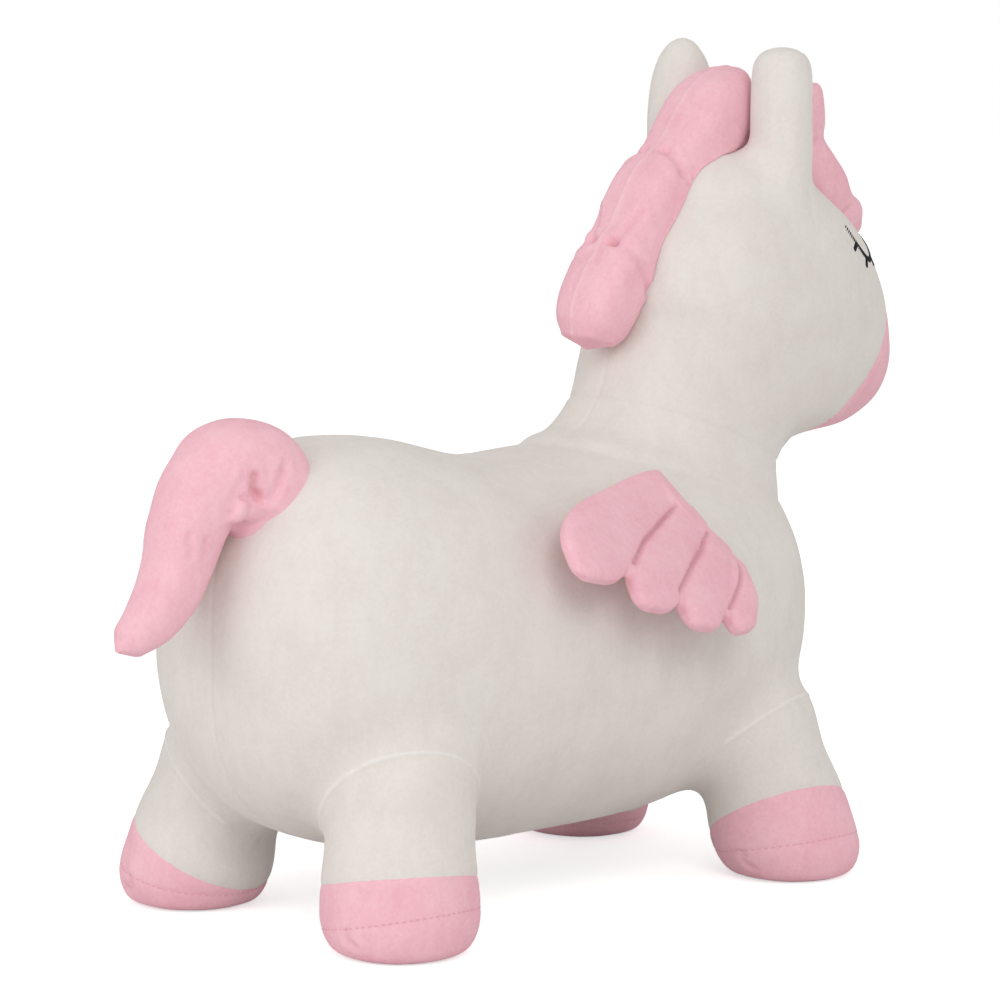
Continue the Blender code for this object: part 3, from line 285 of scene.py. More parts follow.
JOIN_REACH = {"leg": 0.017, "ear": 0.011}
JOIN_PASSES = 60
JOIN_PULL = 0.9
trunk_tree = BVHTree.FromBMesh(felted([barrel(), head()], SKIN_VOXEL, 2))
limbs = [(leg(*sides), "leg") for sides in FEET.values()] + [(ear(left), "ear") for left in (1, -1)]
skin = felted([barrel(), head(), *(limb for limb, _ in limbs)], SKIN_VOXEL, SKIN_SOFTENING)
skin_places = places_of(skin)
joins = np.zeros(len(skin_places))
for limb, kind in limbs:
    span, reach = places_of(limb), JOIN_REACH[kind]
    near = np.all((skin_places > span.min(0) - reach) & (skin_places < span.max(0) + reach), axis=1)
    closeness = between(BVHTree.FromBMesh(limb), trunk_tree, skin_places[near], reach)
    joins[near] = np.maximum(joins[near], closeness)
eased(skin, JOIN_PULL * joins, JOIN_PASSES)

# Seams of the cover.  The panels are sewn face to face and turned out: down the
# middle, round the neck, across the muzzle, round each hoof's crown and sole.
# At the top of each leg the allowance is pressed out and stands as a thin ridge.
# A FIT is a plane's height at the middle of the foot, and its slopes along X and Y.
NECK_POINT, NECK_TILT = (0.1475, 0.0, 0.290), 21.7
CAP_POINT, CAP_TILT = (0.2770, 0.0, 0.3263), 127.7
CROWN_FITS = {"hind_left": (0.0387, -0.213, 0.492), "hind_right": (0.0448, -0.118, -0.219),
              "front_left": (0.0455, -0.052, 0.518), "front_right": (0.0455, -0.052, -0.518)}
LEG_TOP_FITS = {"hind_left": (0.0960, -0.512, 0.841), "hind_right": (0.1132, -0.533, -1.027),
                "front_left": (0.1123, 0.292, 0.766), "front_right": (0.1123, 0.292, -0.766)}
SOLE_FIT = (0.0215, 0.194)
EAR_SEAM_HEIGHT, EAR_SEAM_TILT = 0.443, 32.0
EAR_FRONT_X = 0.2101
EAR_REACH = 0.034
PANEL_CENTRE_X = -0.0205
PANEL_HALF = (0.094, 0.040)
SLOT_HALF = (0.082, 0.0058)
PANEL_SPARE = 0.01
PANEL_HEIGHT = 0.012
SEAM_WIDTH = 0.0019
SCORE_REACH = 0.008


class Seam:
    """A sewn line: a flat cut through the cover, as far as it reaches."""

    def __init__(self, point, normal, reaches, depth, packed, width=SEAM_WIDTH):
        self.point = np.array(point, float)
        self.normal = np.array(normal, float) / np.linalg.norm(normal)
        self.reaches, self.depth, self.packed, self.width = reaches, depth, packed, width

    def above(self, places):
        return (places - self.point) @ self.normal

    def pull(self, places):
        return np.where(self.reaches(places), np.exp(-(self.above(places) / self.width) ** 2), 0.0)


def leaning(degrees, across=0):
    tilt = math.radians(degrees)
    return np.array([math.sin(tilt) * (not across), across * math.sin(tilt), math.cos(tilt)])


def from_fit(corner, fit):
    """Point and normal of a plane given by its height at the foot's middle and two slopes."""
    height, slope_x, slope_y = fit
    return foot_of(*FEET[corner]) + (0.0, 0.0, height), (-slope_x, -slope_y, 1.0)


def by_foot(places, corner, reach=0.072, low=-1.0, high=0.10):
    away = places - foot_of(*FEET[corner])
    return (away[:, 2] > low) & (away[:, 2] < high) & (np.hypot(away[:, 0], away[:, 1]) < reach)


def by_ear(places):
    x, y, z = places.T
    tilt, aside = math.radians(EAR_SEAM_TILT), np.abs(y) - EAR_BASE[1]
    above = (z - EAR_SEAM_HEIGHT) * math.cos(tilt) + aside * math.sin(tilt)
    return (above > -0.001) & (np.abs(aside) < EAR_REACH) & (np.abs(x - EAR_BASE[0]) < EAR_REACH)


def in_patch(places, half, spare=0.0):
    x, y, z = places.T
    low = z < BELLY + PANEL_HEIGHT
    return low & (np.abs(x - PANEL_CENTRE_X) < half[0] + spare) & (np.abs(y) < half[1] + spare)


def near_patch(places):
    return in_patch(places, PANEL_HALF, PANEL_SPARE)


def everywhere(places):
    return np.full(len(places), True)


# The last number of each seam paints its shading: above nought the seam is darkened as painted shade, below
# nought (the leg tops) its ridge is lightened as a painted highlight.
neck = Seam(NECK_POINT, leaning(NECK_TILT), everywhere, depth=0.0009, packed=0.10)
cap = Seam(CAP_POINT, leaning(CAP_TILT), lambda p: neck.above(p) > -0.004, depth=0.0007, packed=0.05)
middle = Seam((0, 0, 0), (0, 1, 0), lambda p: ~((neck.above(p) > 0) & (cap.above(p) > 0)),
              depth=0.0006, packed=0.06)
crowns = {corner: Seam(*from_fit(corner, fit), lambda p, corner=corner: by_foot(p, corner),
                       depth=0.0006, packed=0.05)
          for corner, fit in CROWN_FITS.items()}
soles = {corner: Seam(*from_fit(corner, (SOLE_FIT[0], 0.0, left * SOLE_FIT[1])),
                      lambda p, corner=corner: by_foot(p, corner, high=0.045),
                      depth=0.0004, packed=0.10, width=0.0014)
         for corner, (_, left) in FEET.items()}
leg_tops = [Seam(*from_fit(corner, fit),
                 lambda p, corner=corner: by_foot(p, corner, reach=0.070, low=0.060, high=0.16),
                 depth=-0.0008, packed=-0.55, width=0.0013)
            for corner, fit in LEG_TOP_FITS.items()]
ear_roots = [Seam((EAR_BASE[0], left * EAR_BASE[1], EAR_SEAM_HEIGHT), leaning(EAR_SEAM_TILT, left),
                  lambda p: (p[:, 2] > 0.41) & (p[:, 0] > EAR_FRONT_X), depth=0.0003, packed=0.0)
             for left in (1, -1)]
ear_front = Seam((EAR_FRONT_X, 0, 0), (1, 0, 0), by_ear, depth=0.0005, packed=0.0)
SEAMS = [middle, neck, cap, ear_front, *crowns.values(), *soles.values(), *leg_tops, *ear_roots]
for half, depth, packed in ((PANEL_HALF, 0.0006, 0.2), (SLOT_HALF, 0.0, 0.0)):
    for side in (-1, 1):
        SEAMS.append(Seam((PANEL_CENTRE_X + side * half[0], 0, 0), (1, 0, 0), near_patch, depth, packed))
    for side in (-1, 1):
        SEAMS.append(Seam((0, side * half[1], 0), (0, 1, 0), near_patch, depth, packed))


def score(shell, seam):
    """Cut three edge loops along a seam, without parting the shell."""
    centres = np.array([face.calc_center_median() for face in shell.faces])
    near = seam.reaches(centres) & (np.abs(seam.above(centres)) < SCORE_REACH)
    faces = [face for face, taken in zip(shell.faces, near) if taken]
    geom = [*dict.fromkeys(vert for face in faces for vert in face.verts),
            *dict.fromkeys(edge for face in faces for edge in face.edges), *faces]
    for shift in (-seam.width, seam.width, 0.0):
        geom = bmesh.ops.bisect_plane(shell, geom=geom, dist=0.0003, plane_no=Vector(seam.normal),
                                      plane_co=Vector(seam.point + seam.normal * shift))["geom"]


def near_line(places, line):
    """Distance from each place to a line through a few points."""
    line = np.array(line, float)
    nearest = np.full(len(places), np.inf)
    for start, end in zip(line, line[1:]):
        run = end - start
        share = np.clip((places - start) @ run / (run @ run), 0, 1)
        nearest = np.minimum(nearest, np.linalg.norm(places - start - share[:, None] * run, axis=1))
    return nearest


LIP_SHARE, LIP_PLACE = 0.25, 2.2


def creases(places, lines):
    """Depth of folds pressed in along short lines on both sides, with raised lips."""
    depth = np.zeros(len(places))
    for deep, wide, line in lines:
        for mirror in ((1, 1, 1), (1, -1, 1)):
            away = near_line(places, np.array(line) * mirror)
            lip = LIP_SHARE * np.exp(-((away - LIP_PLACE * wide) / wide) ** 2)
            depth += deep * (np.exp(-(away / wide) ** 2) - lip)
    return depth


SLACK, SLACK_SCALE = 0.0008, 15.0
LUMPS, LUMP_SCALE, LUMP_SHIFT = 0.00035, 48.0, (3.1, 7.7, 1.3)
PUCKER_DEPTH, PUCKER_START = 0.0007, 0.12
PUCKER_HEIGHT, PUCKER_REACH = 0.115, 0.05
PUCKER_ASIDE, PUCKER_SPREAD = 0.05, 0.04


def unevenness(places):
    """Slack and fill of the stuffing under the cloth, in metres."""
    return np.array([SLACK * noise.noise(Vector(place) * SLACK_SCALE)
                     + LUMPS * noise.noise(Vector(place) * LUMP_SCALE + Vector(LUMP_SHIFT))
                     for place in places])


def puckers(places):
    """Short slack wrinkles that run up from the legs over the hips."""
    _, y, z = places.T
    zone = (np.exp(-((z - PUCKER_HEIGHT) / PUCKER_REACH) ** 2)
            * np.clip((np.abs(y) - PUCKER_ASIDE) / PUCKER_SPREAD, 0, 1))
    ripple = np.array([noise.noise(Vector((p[0] * 120 + p[2] * 60, p[1] * 40, p[2] * 22 - p[0] * 30)))
                       for p in places])
    return PUCKER_DEPTH * zone * np.clip(ripple - PUCKER_START, 0, 1)


SLEEVE_SEAM = ((0.0161, -0.0530, 0.0503), (0.0055, -0.0518, 0.0386), (-0.0002, -0.0505, 0.0262),
               (-0.0058, -0.0466, 0.0140), (-0.0066, -0.0431, 0.0064))
HOOF_WRINKLES = ((0.0499, 0.0051, 0.0213), (0.0474, 0.0028, 0.0157), (0.0455, 0.0101, 0.0116))
SLEEVE_FOLD = (0.0013, 0.0014)
HOOF_FOLD = (0.0020, 0.0022)
# Painted shade in the folds: their depth in metres times this.
FOLD_PAINTED_SHADE = 90.0
FLOOR_CLEARANCE = 0.0004
leg_lines = []
for front in (1, -1):
    leg_lines.append((*SLEEVE_FOLD, foot_of(front, 1) + np.array(SLEEVE_SEAM) * (-front, 1, 1)))
    leg_lines.append((*HOOF_FOLD, foot_of(front, 1) + np.array(HOOF_WRINKLES) * (-1, 1, 1)))

for seam in SEAMS:
    score(skin, seam)
skin.normal_update()


def cover_depth(places):
    """Depth of every seam and fold of the cover, and the painted shade down in its seams and folds and
    painted highlight on its ridges.
    """
    depth = creases(places, leg_lines)
    packed = FOLD_PAINTED_SHADE * np.clip(depth, 0, 1)
    for seam in SEAMS:
        pull = seam.pull(places)
        depth += seam.depth * pull
        packed = np.where(np.abs(seam.packed) * pull > np.abs(packed), seam.packed * pull, packed)
    return depth, packed


skin_places = places_of(skin)
normals = np.array([vert.normal for vert in skin.verts])
flat = near_patch(skin_places) & (skin_places[:, 2] < BELLY + 0.004)
lift = np.where(flat, 0.0, unevenness(skin_places) + puckers(skin_places)) - cover_depth(skin_places)[0]
skin_places += normals * lift[:, None]
skin_places[:, 2] = np.maximum(skin_places[:, 2], FLOOR_CLEARANCE)
moved_to(skin, skin_places)
skin_tree = BVHTree.FromBMesh(skin)

# Knitted plush.  White panels are off-white minky, pink ones a light rose; both
# have a one-millimetre pile that brushes lighter and darker in patches.  Down in
# the seams and folds the colour is darkened as painted shade, and along the
# pressed ridges it is lightened as a painted highlight.
WHITE_PILE = (0.800, 0.757, 0.712)
WHITE_ROOT = (0.745, 0.697, 0.647)
PINK_PILE = (0.925, 0.560, 0.622)
PINK_ROOT = (0.865, 0.462, 0.535)
# The pale colour painted along raised ridges as a highlight, and the share of the root colour painted down in
# seams and folds as shade.
RIDGE_PAINTED_HIGHLIGHT = (0.93, 0.92, 0.90)
SEAM_SHADE = 0.62


class Wire:
    """A socket's value inside a material; arithmetic on it adds Math nodes."""

    def __init__(self, recipe, socket):
        self.recipe, self.socket = recipe, socket

    def math(self, operation, *values):
        return self.recipe.node("Math", {"operation": operation}, dict(enumerate(values)))

    def __add__(self, other):
        return self.math("ADD", self, other)

    def __sub__(self, other):
        return self.math("SUBTRACT", self, other)

    def __rsub__(self, other):
        return self.math("SUBTRACT", other, self)

    def __mul__(self, other):
        return self.math("MULTIPLY", self, other)

    __radd__ = __add__
    __rmul__ = __mul__

    def ranged(self, low, high):
        """0 below low, 1 above high, smooth in between."""
        return self.recipe.node("MapRange", {"interpolation_type": "SMOOTHSTEP", "clamp": True},
                                {"Value": self, "From Min": low, "From Max": high})


class Recipe:
    """A finish in the making; its node method makes every node in it."""

    def __init__(self, owner):
        owner.use_nodes = True
        self.owner, self.tree = owner, owner.node_tree
        self.tree.nodes.clear()

    def node(self, kind, settings=None, sockets=None, output=0):
        made = self.tree.nodes.new("ShaderNode" + kind)
        for name, value in (settings or {}).items():
            setattr(made, name, value)
        for name, value in (sockets or {}).items():
            if isinstance(value, Wire):
                self.tree.links.new(value.socket, made.inputs[name])
            else:
                made.inputs[name].default_value = value
        return Wire(self, made.outputs[output]) if len(made.outputs) else None

    def place(self):
        return self.node("TexCoord", output="Object")

    def noise(self, place, scale, detail=2.0, roughness=0.5):
        return self.node("TexNoise", None, {"Vector": place, "Scale": scale, "Detail": detail,
                                            "Roughness": roughness}, "Fac")

    def mix(self, share, first, second):
        return self.node("Mix", {"data_type": "RGBA"}, {0: share, 6: first, 7: second}, 2)

    def finish(self, shader, kind="OutputMaterial"):
        self.node(kind, None, {"Surface": shader})
        return self.owner


def material(name):
    return Recipe(bpy.data.materials.new(name))


def rgba(colour, share=1.0):
    return (*(part * share for part in colour), 1.0)


def plush(name, pile, root):
    """Short pile: hair-fine bumps, brushed patches, painted shade in seams and folds, painted highlight on
    ridges.
    """
    recipe = material(name)
    place = recipe.place()
    hairs = recipe.noise(place, 1500.0, 2.0, 0.6)
    tufts = recipe.noise(place, 380.0, 2.0, 0.5)
    stretched = recipe.node("VectorMath", {"operation": "MULTIPLY"}, {0: place, 1: (1.0, 1.0, 0.35)})
    strokes = recipe.noise(stretched, 130.0, 2.0, 0.5)
    brushed = recipe.noise(place, 26.0, 3.0, 0.55)
    seam = recipe.node("Attribute", {"attribute_name": "seam"}, None, "Fac")
    shade = (hairs * 0.20 + tufts * 0.25 + strokes * 0.20 + brushed * 0.35).ranged(0.36, 0.62)
    colour = recipe.mix(shade, rgba(root), rgba(pile))
    # Painted shade: darkened towards the root colour down in the seams and folds.
    colour = recipe.mix(seam.ranged(0.0, 1.0), colour, rgba(root, SEAM_SHADE))
    # Painted highlight: lightened towards a pale tone along the raised ridges.
    colour = recipe.mix((0.0 - seam).ranged(0.0, 1.3), colour, rgba(RIDGE_PAINTED_HIGHLIGHT))
    height = hairs * 0.40 + tufts * 0.45 + strokes * 0.15
    bumps = recipe.node("Bump", None, {"Strength": 0.32, "Distance": 0.0010, "Height": height})
    shader = recipe.node("BsdfPrincipled", None, {
        "Base Color": colour, "Roughness": 0.86 + 0.10 * tufts, "Normal": bumps,
        "Sheen Weight": 0.18, "Sheen Roughness": 0.45, "Sheen Tint": rgba(pile), "Specular IOR Level": 0.2})
    return recipe.finish(shader)


PILES = {"white": plush("white_pile", WHITE_PILE, WHITE_ROOT),
         "pink": plush("pink_pile", PINK_PILE, PINK_ROOT)}


def dress(piece, finish, body, nodes, packed=None):
    """Finish, hide the CAD parts it stands for and place on its body; the values given per point paint shade
    down in seams and folds and, where negative, a highlight on ridges.
    """
    if packed is not None:
        piece.data.attributes.new("seam", "FLOAT", "POINT").data.foreach_set("value", packed)
    piece.data.materials.append(finish)
    if nodes:
        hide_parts(*nodes)
    if body:
        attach(piece, body)
    return piece


# The cover's panels, cut from the skin along its seams: two body halves with
# their leg sleeves, two head halves with the ears' backs, the ears' linings, the
# muzzle, hooves, soles and belly panel.  Each edge is turned in by an allowance.
ALLOWANCE = 0.0030
PANEL_NODES = {
    "body_left": ("white", ("body_cover_left", "leg_sleeve_front_left", "leg_sleeve_hind_left")),
    "body_right": ("white", ("body_cover_right", "leg_sleeve_front_right", "leg_sleeve_hind_right")),
    "head_left": ("white", ("head_cover_left", "ear_cover_left")),
    "head_right": ("white", ("head_cover_right", "ear_cover_right")),
    "ear_front_left": ("white", ("ear_lining_left",)),
    "ear_front_right": ("white", ("ear_lining_right",)),
    "belly": ("white", ("belly_panel",)),
    "muzzle": ("pink", ("muzzle_cover",)),
    **{f"hoof_{corner}": ("pink", (f"hoof_cover_{corner}",)) for corner in FEET},
    **{f"sole_{corner}": ("pink", (f"hoof_sole_{corner}",)) for corner in FEET},
}


def panels_at(places):
    """The name of the panel that each place belongs to, or None in the zip's slot."""
    sides = np.where(places[:, 1] > 0, "left", "right")
    names = np.array([f"body_{side}" for side in sides], dtype=object)
    names[in_patch(places, PANEL_HALF)] = "belly"
    names[in_patch(places, SLOT_HALF)] = None
    on_head = neck.above(places) > 0
    names[on_head] = [f"head_{side}" for side in sides[on_head]]
    names[on_head & (cap.above(places) > 0)] = "muzzle"
    lining = by_ear(places) & (places[:, 0] > EAR_FRONT_X)
    names[lining] = [f"ear_front_{side}" for side in sides[lining]]
    for corner in FEET:
        hoof = by_foot(places, corner) & (crowns[corner].above(places) < 0)
        names[hoof] = f"hoof_{corner}"
        names[hoof & (soles[corner].above(places) < 0)] = f"sole_{corner}"
    return names


def turn_in(shell, depth):
    """Fold a panel's open edges inwards by the seam allowance."""
    rim = [edge for edge in shell.edges if edge.is_boundary]
    corners = [vert for vert in shell.verts if vert.is_boundary]
    tucked = {vert: shell.verts.new(vert.co - vert.normal * depth) for vert in corners}
    for edge in rim:
        edge.smooth = False
        loop = edge.link_loops[0]
        start, end = loop.vert, loop.link_loop_next.vert
        shell.faces.new((end, start, tucked[start], tucked[end]))


panel_of_face = panels_at(np.array([face.calc_center_median() for face in skin.faces]))
for name, (pile, nodes) in PANEL_NODES.items():
    shell = skin.copy()
    others = [face for face, owner in zip(shell.faces, panel_of_face) if owner != name]
    bmesh.ops.delete(shell, geom=others, context="FACES")
    turn_in(shell, ALLOWANCE)
    panel = dress(piece_from(name, shell), PILES[pile], "body", nodes,
                  cover_depth(places_of(shell))[1])
    shell.free()

# Stitches of the hooves: a running stitch in rose thread holds each sole to its
# hoof, pulled a little into the pile.
THREAD_RADIUS = 0.00040
HOOF_THREAD_RADIUS = 0.00028
THREAD_SIDES = 6
STITCH_LENGTH = 0.0030
STITCH_STEP = 0.0046
LEVEL_REACH, LEVEL_DEPTH = 0.08, 0.06


def stitch(start, end, out, radius=THREAD_RADIUS):
    """One thread over the pile, arched a little and tucked in at both ends."""
    side = (end - start).normalized().cross(out).normalized()
    rings = []
    for share in np.linspace(0, 1, 6):
        arch = math.sin(math.pi * share)
        centre = start.lerp(end, share) + out * (2.2 * radius * arch - radius)
        size = radius * (0.45 + 0.55 * arch ** 0.5)
        rings.append([centre + side * (size * math.cos(a)) + out * (size * math.sin(a))
                      for a in np.linspace(0, 2 * math.pi, THREAD_SIDES, endpoint=False)])
    return lofted(rings)


def thread_finish(name, deep, pale, roughness):
    recipe = material(name)
    twist = recipe.noise(recipe.place(), 2600.0, 2.0)
    colour = recipe.mix(twist, rgba(deep), rgba(pale))
    bumps = recipe.node("Bump", None, {"Strength": 0.3, "Distance": 0.0003, "Height": twist})
    return recipe.finish(recipe.node("BsdfPrincipled", None, {
        "Base Color": colour, "Roughness": roughness + 0.2 * twist, "Normal": bumps,
        "Specular IOR Level": 0.2}))


rose_thread = thread_finish("rose_thread", (0.74, 0.37, 0.44), (0.85, 0.47, 0.54), 0.55)
threads = []
for sides in FEET.values():
    foot = foot_of(*sides)
    for angle in np.arange(0, 2 * math.pi, STITCH_STEP / LEG_RADIUS):
        spots = []
        for turn in (angle, angle + STITCH_LENGTH / LEG_RADIUS):
            away = np.array([math.cos(turn), math.sin(turn), 0.0])
            level = foot + (0.0, 0.0, SOLE_FIT[0] + away[1] * LEG_RADIUS * sides[1] * SOLE_FIT[1])
            outside = Vector(level + away * LEVEL_REACH)
            spots.append(skin_tree.ray_cast(outside, Vector(-away), LEVEL_DEPTH)[:2])
        if all(spot for spot, _ in spots):
            threads.append(stitch(spots[0][0], spots[1][0], spots[0][1], HOOF_THREAD_RADIUS))
dress(piece_from("hoof_stitches", joined(threads)), rose_thread, "body", [])

# Mane and forelock: stuffed pink tubes, sewn flat on the nape and the brow.
# They are gathered by hand-sewn tucks into soft lobes, and the seam that closes
# each runs along its top.  The mane runs on between the ears to the forelock.
# Stations are X, Z, half thickness and half width, as shares of the piece's size.
# Creases are depth, width and the line of a fold.
MANE_STATIONS = (
    (0.364, 0.925, 0.043, 0.040),
    (0.354, 0.924, 0.047, 0.046),
    (0.328, 0.911, 0.048, 0.050),
    (0.305, 0.887, 0.047, 0.050),
    (0.284, 0.864, 0.044, 0.048),
    (0.260, 0.840, 0.041, 0.045),
    (0.235, 0.821, 0.045, 0.049),
    (0.214, 0.796, 0.042, 0.050),
    (0.192, 0.764, 0.039, 0.046),
    (0.171, 0.735, 0.040, 0.050),
    (0.152, 0.710, 0.041, 0.051),
    (0.137, 0.684, 0.041, 0.049),
    (0.127, 0.661, 0.037, 0.043),
    (0.120, 0.645, 0.027, 0.031),
)
MANE_END = (0.117, 0.635)
MANE_FOOT = ((0.3630, 0.893, 0.029, 0.038), (0.350, 0.892, 0.032, 0.041), (0.320, 0.880, 0.032, 0.042))
MANE_FOOT_END = (0.300, 0.870)
MANE_FRONT = ((0.345, 0.912, 0.046, 0.039), (0.380, 0.905, 0.049, 0.038), (0.420, 0.886, 0.060, 0.038),
              (0.455, 0.868, 0.066, 0.036))
MANE_FRONT_END = (0.482, 0.850)
MANE_CREASES = (
    (0.0042, 0.0034, ((0.1300, -0.0100, 0.4770), (0.1290, -0.0180, 0.4700), (0.1300, -0.0235, 0.4640))),
    (0.0022, 0.0020, ((0.1300, -0.0215, 0.4640), (0.1345, -0.0245, 0.4560))),
    (0.0018, 0.0018, ((0.1112, -0.0226, 0.4449), (0.1174, -0.0238, 0.4468), (0.1251, -0.0237, 0.4472))),
    (0.0022, 0.0028, ((0.0810, -0.0110, 0.4204), (0.0887, -0.0150, 0.4301), (0.0965, -0.0200, 0.4392))),
    (0.0040, 0.0032, ((0.0800, -0.0082, 0.4204), (0.0847, -0.0195, 0.4148), (0.0913, -0.0261, 0.4016),
                      (0.0971, -0.0245, 0.3879))),
    (0.0018, 0.0022, ((0.0800, -0.0102, 0.4200), (0.0791, -0.0168, 0.4135), (0.0777, -0.0220, 0.4033))),
)
FORELOCK_STATIONS = (
    (0.469, 0.9435, 0.033, 0.038),
    (0.471, 0.933, 0.036, 0.042),
    (0.475, 0.902, 0.036, 0.043),
    (0.480, 0.872, 0.033, 0.039),
    (0.500, 0.840, 0.036, 0.042),
    (0.522, 0.813, 0.037, 0.042),
    (0.545, 0.790, 0.029, 0.036),
    (0.563, 0.776, 0.030, 0.034),
    (0.581, 0.760, 0.017, 0.020),
)
FORELOCK_END = (0.588, 0.752)
FORELOCK_CREASES = (
    (0.0022, 0.0024, ((0.2700, 0.0, 0.4860), (0.2660, -0.0150, 0.4830), (0.2600, -0.0220, 0.4800))),
    (0.0022, 0.0024, ((0.3080, 0.0, 0.4450), (0.3020, -0.0150, 0.4370), (0.2960, -0.0190, 0.4330))),
)
HAIR_VOXEL = 0.0018
HAIR_PASSES = 2
TUBE_RINGS, TUBE_POINTS = 110, 48
# The hair's closing seam stands as a ridge, lightened along it by a painted highlight.
HAIR_SEAM = Seam((0, 0, 0), (0, 1, 0), everywhere, depth=-0.0007, packed=-0.30, width=0.0015)


def stuffed_tube(stations, end, size=HEIGHT, zero=(0.0, 0.0), power=2.3):
    """A stuffed tube in the X-Z plane, as a closed shell."""
    rows = resampled(stations, TUBE_RINGS) * size
    points = np.vstack([rows[:, :2], np.array(end) * size]) + zero
    along = np.gradient(points, axis=0)
    along /= np.linalg.norm(along, axis=1)[:, None]
    c, s = section(TUBE_POINTS, power)
    rings = [np.column_stack([x - tz * thick * c, wide * s, z + tx * thick * c])
             for (x, z), (_, _, thick, wide), (tx, tz) in zip(points, rows, along)]
    return lofted(rings, None, (points[-1][0], 0.0, points[-1][1]))


def seat_on_skin(shell, clearance=0.0004):
    """Points that would lie inside the cover rest on it instead."""
    for vert in shell.verts:
        spot, normal, _, _ = skin_tree.find_nearest(vert.co)
        if (vert.co - spot).dot(normal) < clearance:
            vert.co = spot + normal * clearance


def stuff(shell, lines, seam, seated=True):
    """Press the folds in, let the filling show, and seat the piece on the cover; return the painted shade of
    the folds and painted highlight of the raised seam.
    """
    if seam:
        score(shell, seam)
        shell.normal_update()
    places = places_of(shell)
    sewn = seam.pull(places) if seam else np.zeros(len(places))
    lift = unevenness(places) - creases(places, lines) - (seam.depth * sewn if seam else 0.0)
    moved_to(shell, places + np.array([vert.normal for vert in shell.verts]) * lift[:, None])
    if seated:
        seat_on_skin(shell)
        shell.normal_update()
    return (seam.packed * sewn if seam else sewn) + FOLD_PAINTED_SHADE * np.clip(creases(places, lines), 0, 1)


def make_hair(name, tubes, lines):
    shell = felted(tubes, HAIR_VOXEL, HAIR_PASSES)
    packed = stuff(shell, lines, HAIR_SEAM)
    hair = dress(piece_from(f"{name}_plush", shell), PILES["pink"], "body", [name], packed)


make_hair("mane", [stuffed_tube(MANE_STATIONS, MANE_END, power=2.9),
                   stuffed_tube(MANE_FOOT, MANE_FOOT_END, power=3.2),
                   stuffed_tube(MANE_FRONT, MANE_FRONT_END, power=2.6)], MANE_CREASES)
make_hair("forelock", [stuffed_tube(FORELOCK_STATIONS, FORELOCK_END, power=2.6)], FORELOCK_CREASES)

# Closed eyes: an arc and four lashes in satin stitch, black polyester thread
# laid side by side across the line, drawn tight into the pile.
EYE_AXIS = (0.198, 0.4022)
EYE_TURN = 36.5
EYE_HALF_WIDTH = 0.0223
EYE_RISE = 0.0255
EYE_POWER = 1.8
LINE_WIDTH = 0.0052
END_SHARE = 0.7
LASH_WIDTH = LINE_WIDTH * 0.8
LASH_LENGTH = 0.0085
LASHES = (-0.66, -0.24, 0.24, 0.66)
ARC_POINTS, LASH_POINTS = 52, 11
EYE_REACH = 0.2
black_thread = thread_finish("black_satin_thread", (0.003, 0.003, 0.004), (0.012, 0.011, 0.012), 0.60)


def make_eye(side, left):
    turn = math.radians(EYE_TURN)
    out = Vector((math.cos(turn), left * math.sin(turn), 0.0))
    across = Vector((-out.y, out.x, 0.0)) * left

    def on_skin(x, y):
        start = Vector((EYE_AXIS[0], 0.0, EYE_AXIS[1])) + out * EYE_REACH + across * x + Vector((0, 0, y))
        return skin_tree.ray_cast(start, -out)[:2]

    def arc(share):
        return np.array([EYE_HALF_WIDTH * share, EYE_RISE * abs(share) ** EYE_POWER])

    paths = [([arc(share) for share in np.linspace(-1, 1, ARC_POINTS)], LINE_WIDTH)]
    for share in LASHES:
        run = arc(share + 0.01) - arc(share - 0.01)
        down = np.array([run[1], -run[0]]) / np.linalg.norm(run)
        lash = [arc(share) + down * LASH_LENGTH * f for f in np.linspace(0, 1, LASH_POINTS)]
        paths.append((lash, LASH_WIDTH))
    laid = []
    for path, width in paths:
        for i, (here, there) in enumerate(zip(path, path[1:])):
            run = there - here
            over = np.array((-run[1], run[0])) / np.linalg.norm(run) * width / 2
            if i in (0, len(path) - 2):
                over = over * END_SHARE
            (low, normal), (high, _) = on_skin(*(here - over)), on_skin(*(here + over))
            laid.append(stitch(low, high, normal))
    eye = piece_from(f"eye_stitches_{side}", joined(laid))
    dress(eye, black_thread, "body", [f"eye_{side}"])


make_eye("left", 1)
make_eye("right", -1)

# Tail: one stuffed pink tube, sewn round its root to the rump.  It arches up
# and falls behind; under the arch the slack bunches in small lobes and folds.
TAIL_STATIONS = (
    (-0.362, 0.458, 0.052, 0.070),
    (-0.389, 0.495, 0.0555, 0.077),
    (-0.410, 0.525, 0.061, 0.073),
    (-0.437, 0.531, 0.056, 0.063),
    (-0.459, 0.519, 0.050, 0.055),
    (-0.477, 0.502, 0.046, 0.050),
    (-0.491, 0.478, 0.043, 0.046),
    (-0.501, 0.454, 0.040, 0.044),
    (-0.511, 0.427, 0.037, 0.041),
    (-0.525, 0.400, 0.034, 0.038),
    (-0.549, 0.373, 0.029, 0.032),
    (-0.578, 0.352, 0.020, 0.022),
)
TAIL_END = (-0.5967, 0.342)
TAIL_SIZE = 0.54942
TAIL_ZERO = (-0.0002, 0.0003)
TAIL_PASSES = 3
TAIL_LOBES = ((-0.2545, 0.0260, 0.2715, 0.0085), (-0.2415, 0.0250, 0.2700, 0.0080),
              (-0.2225, 0.0120, 0.2620, 0.0240))
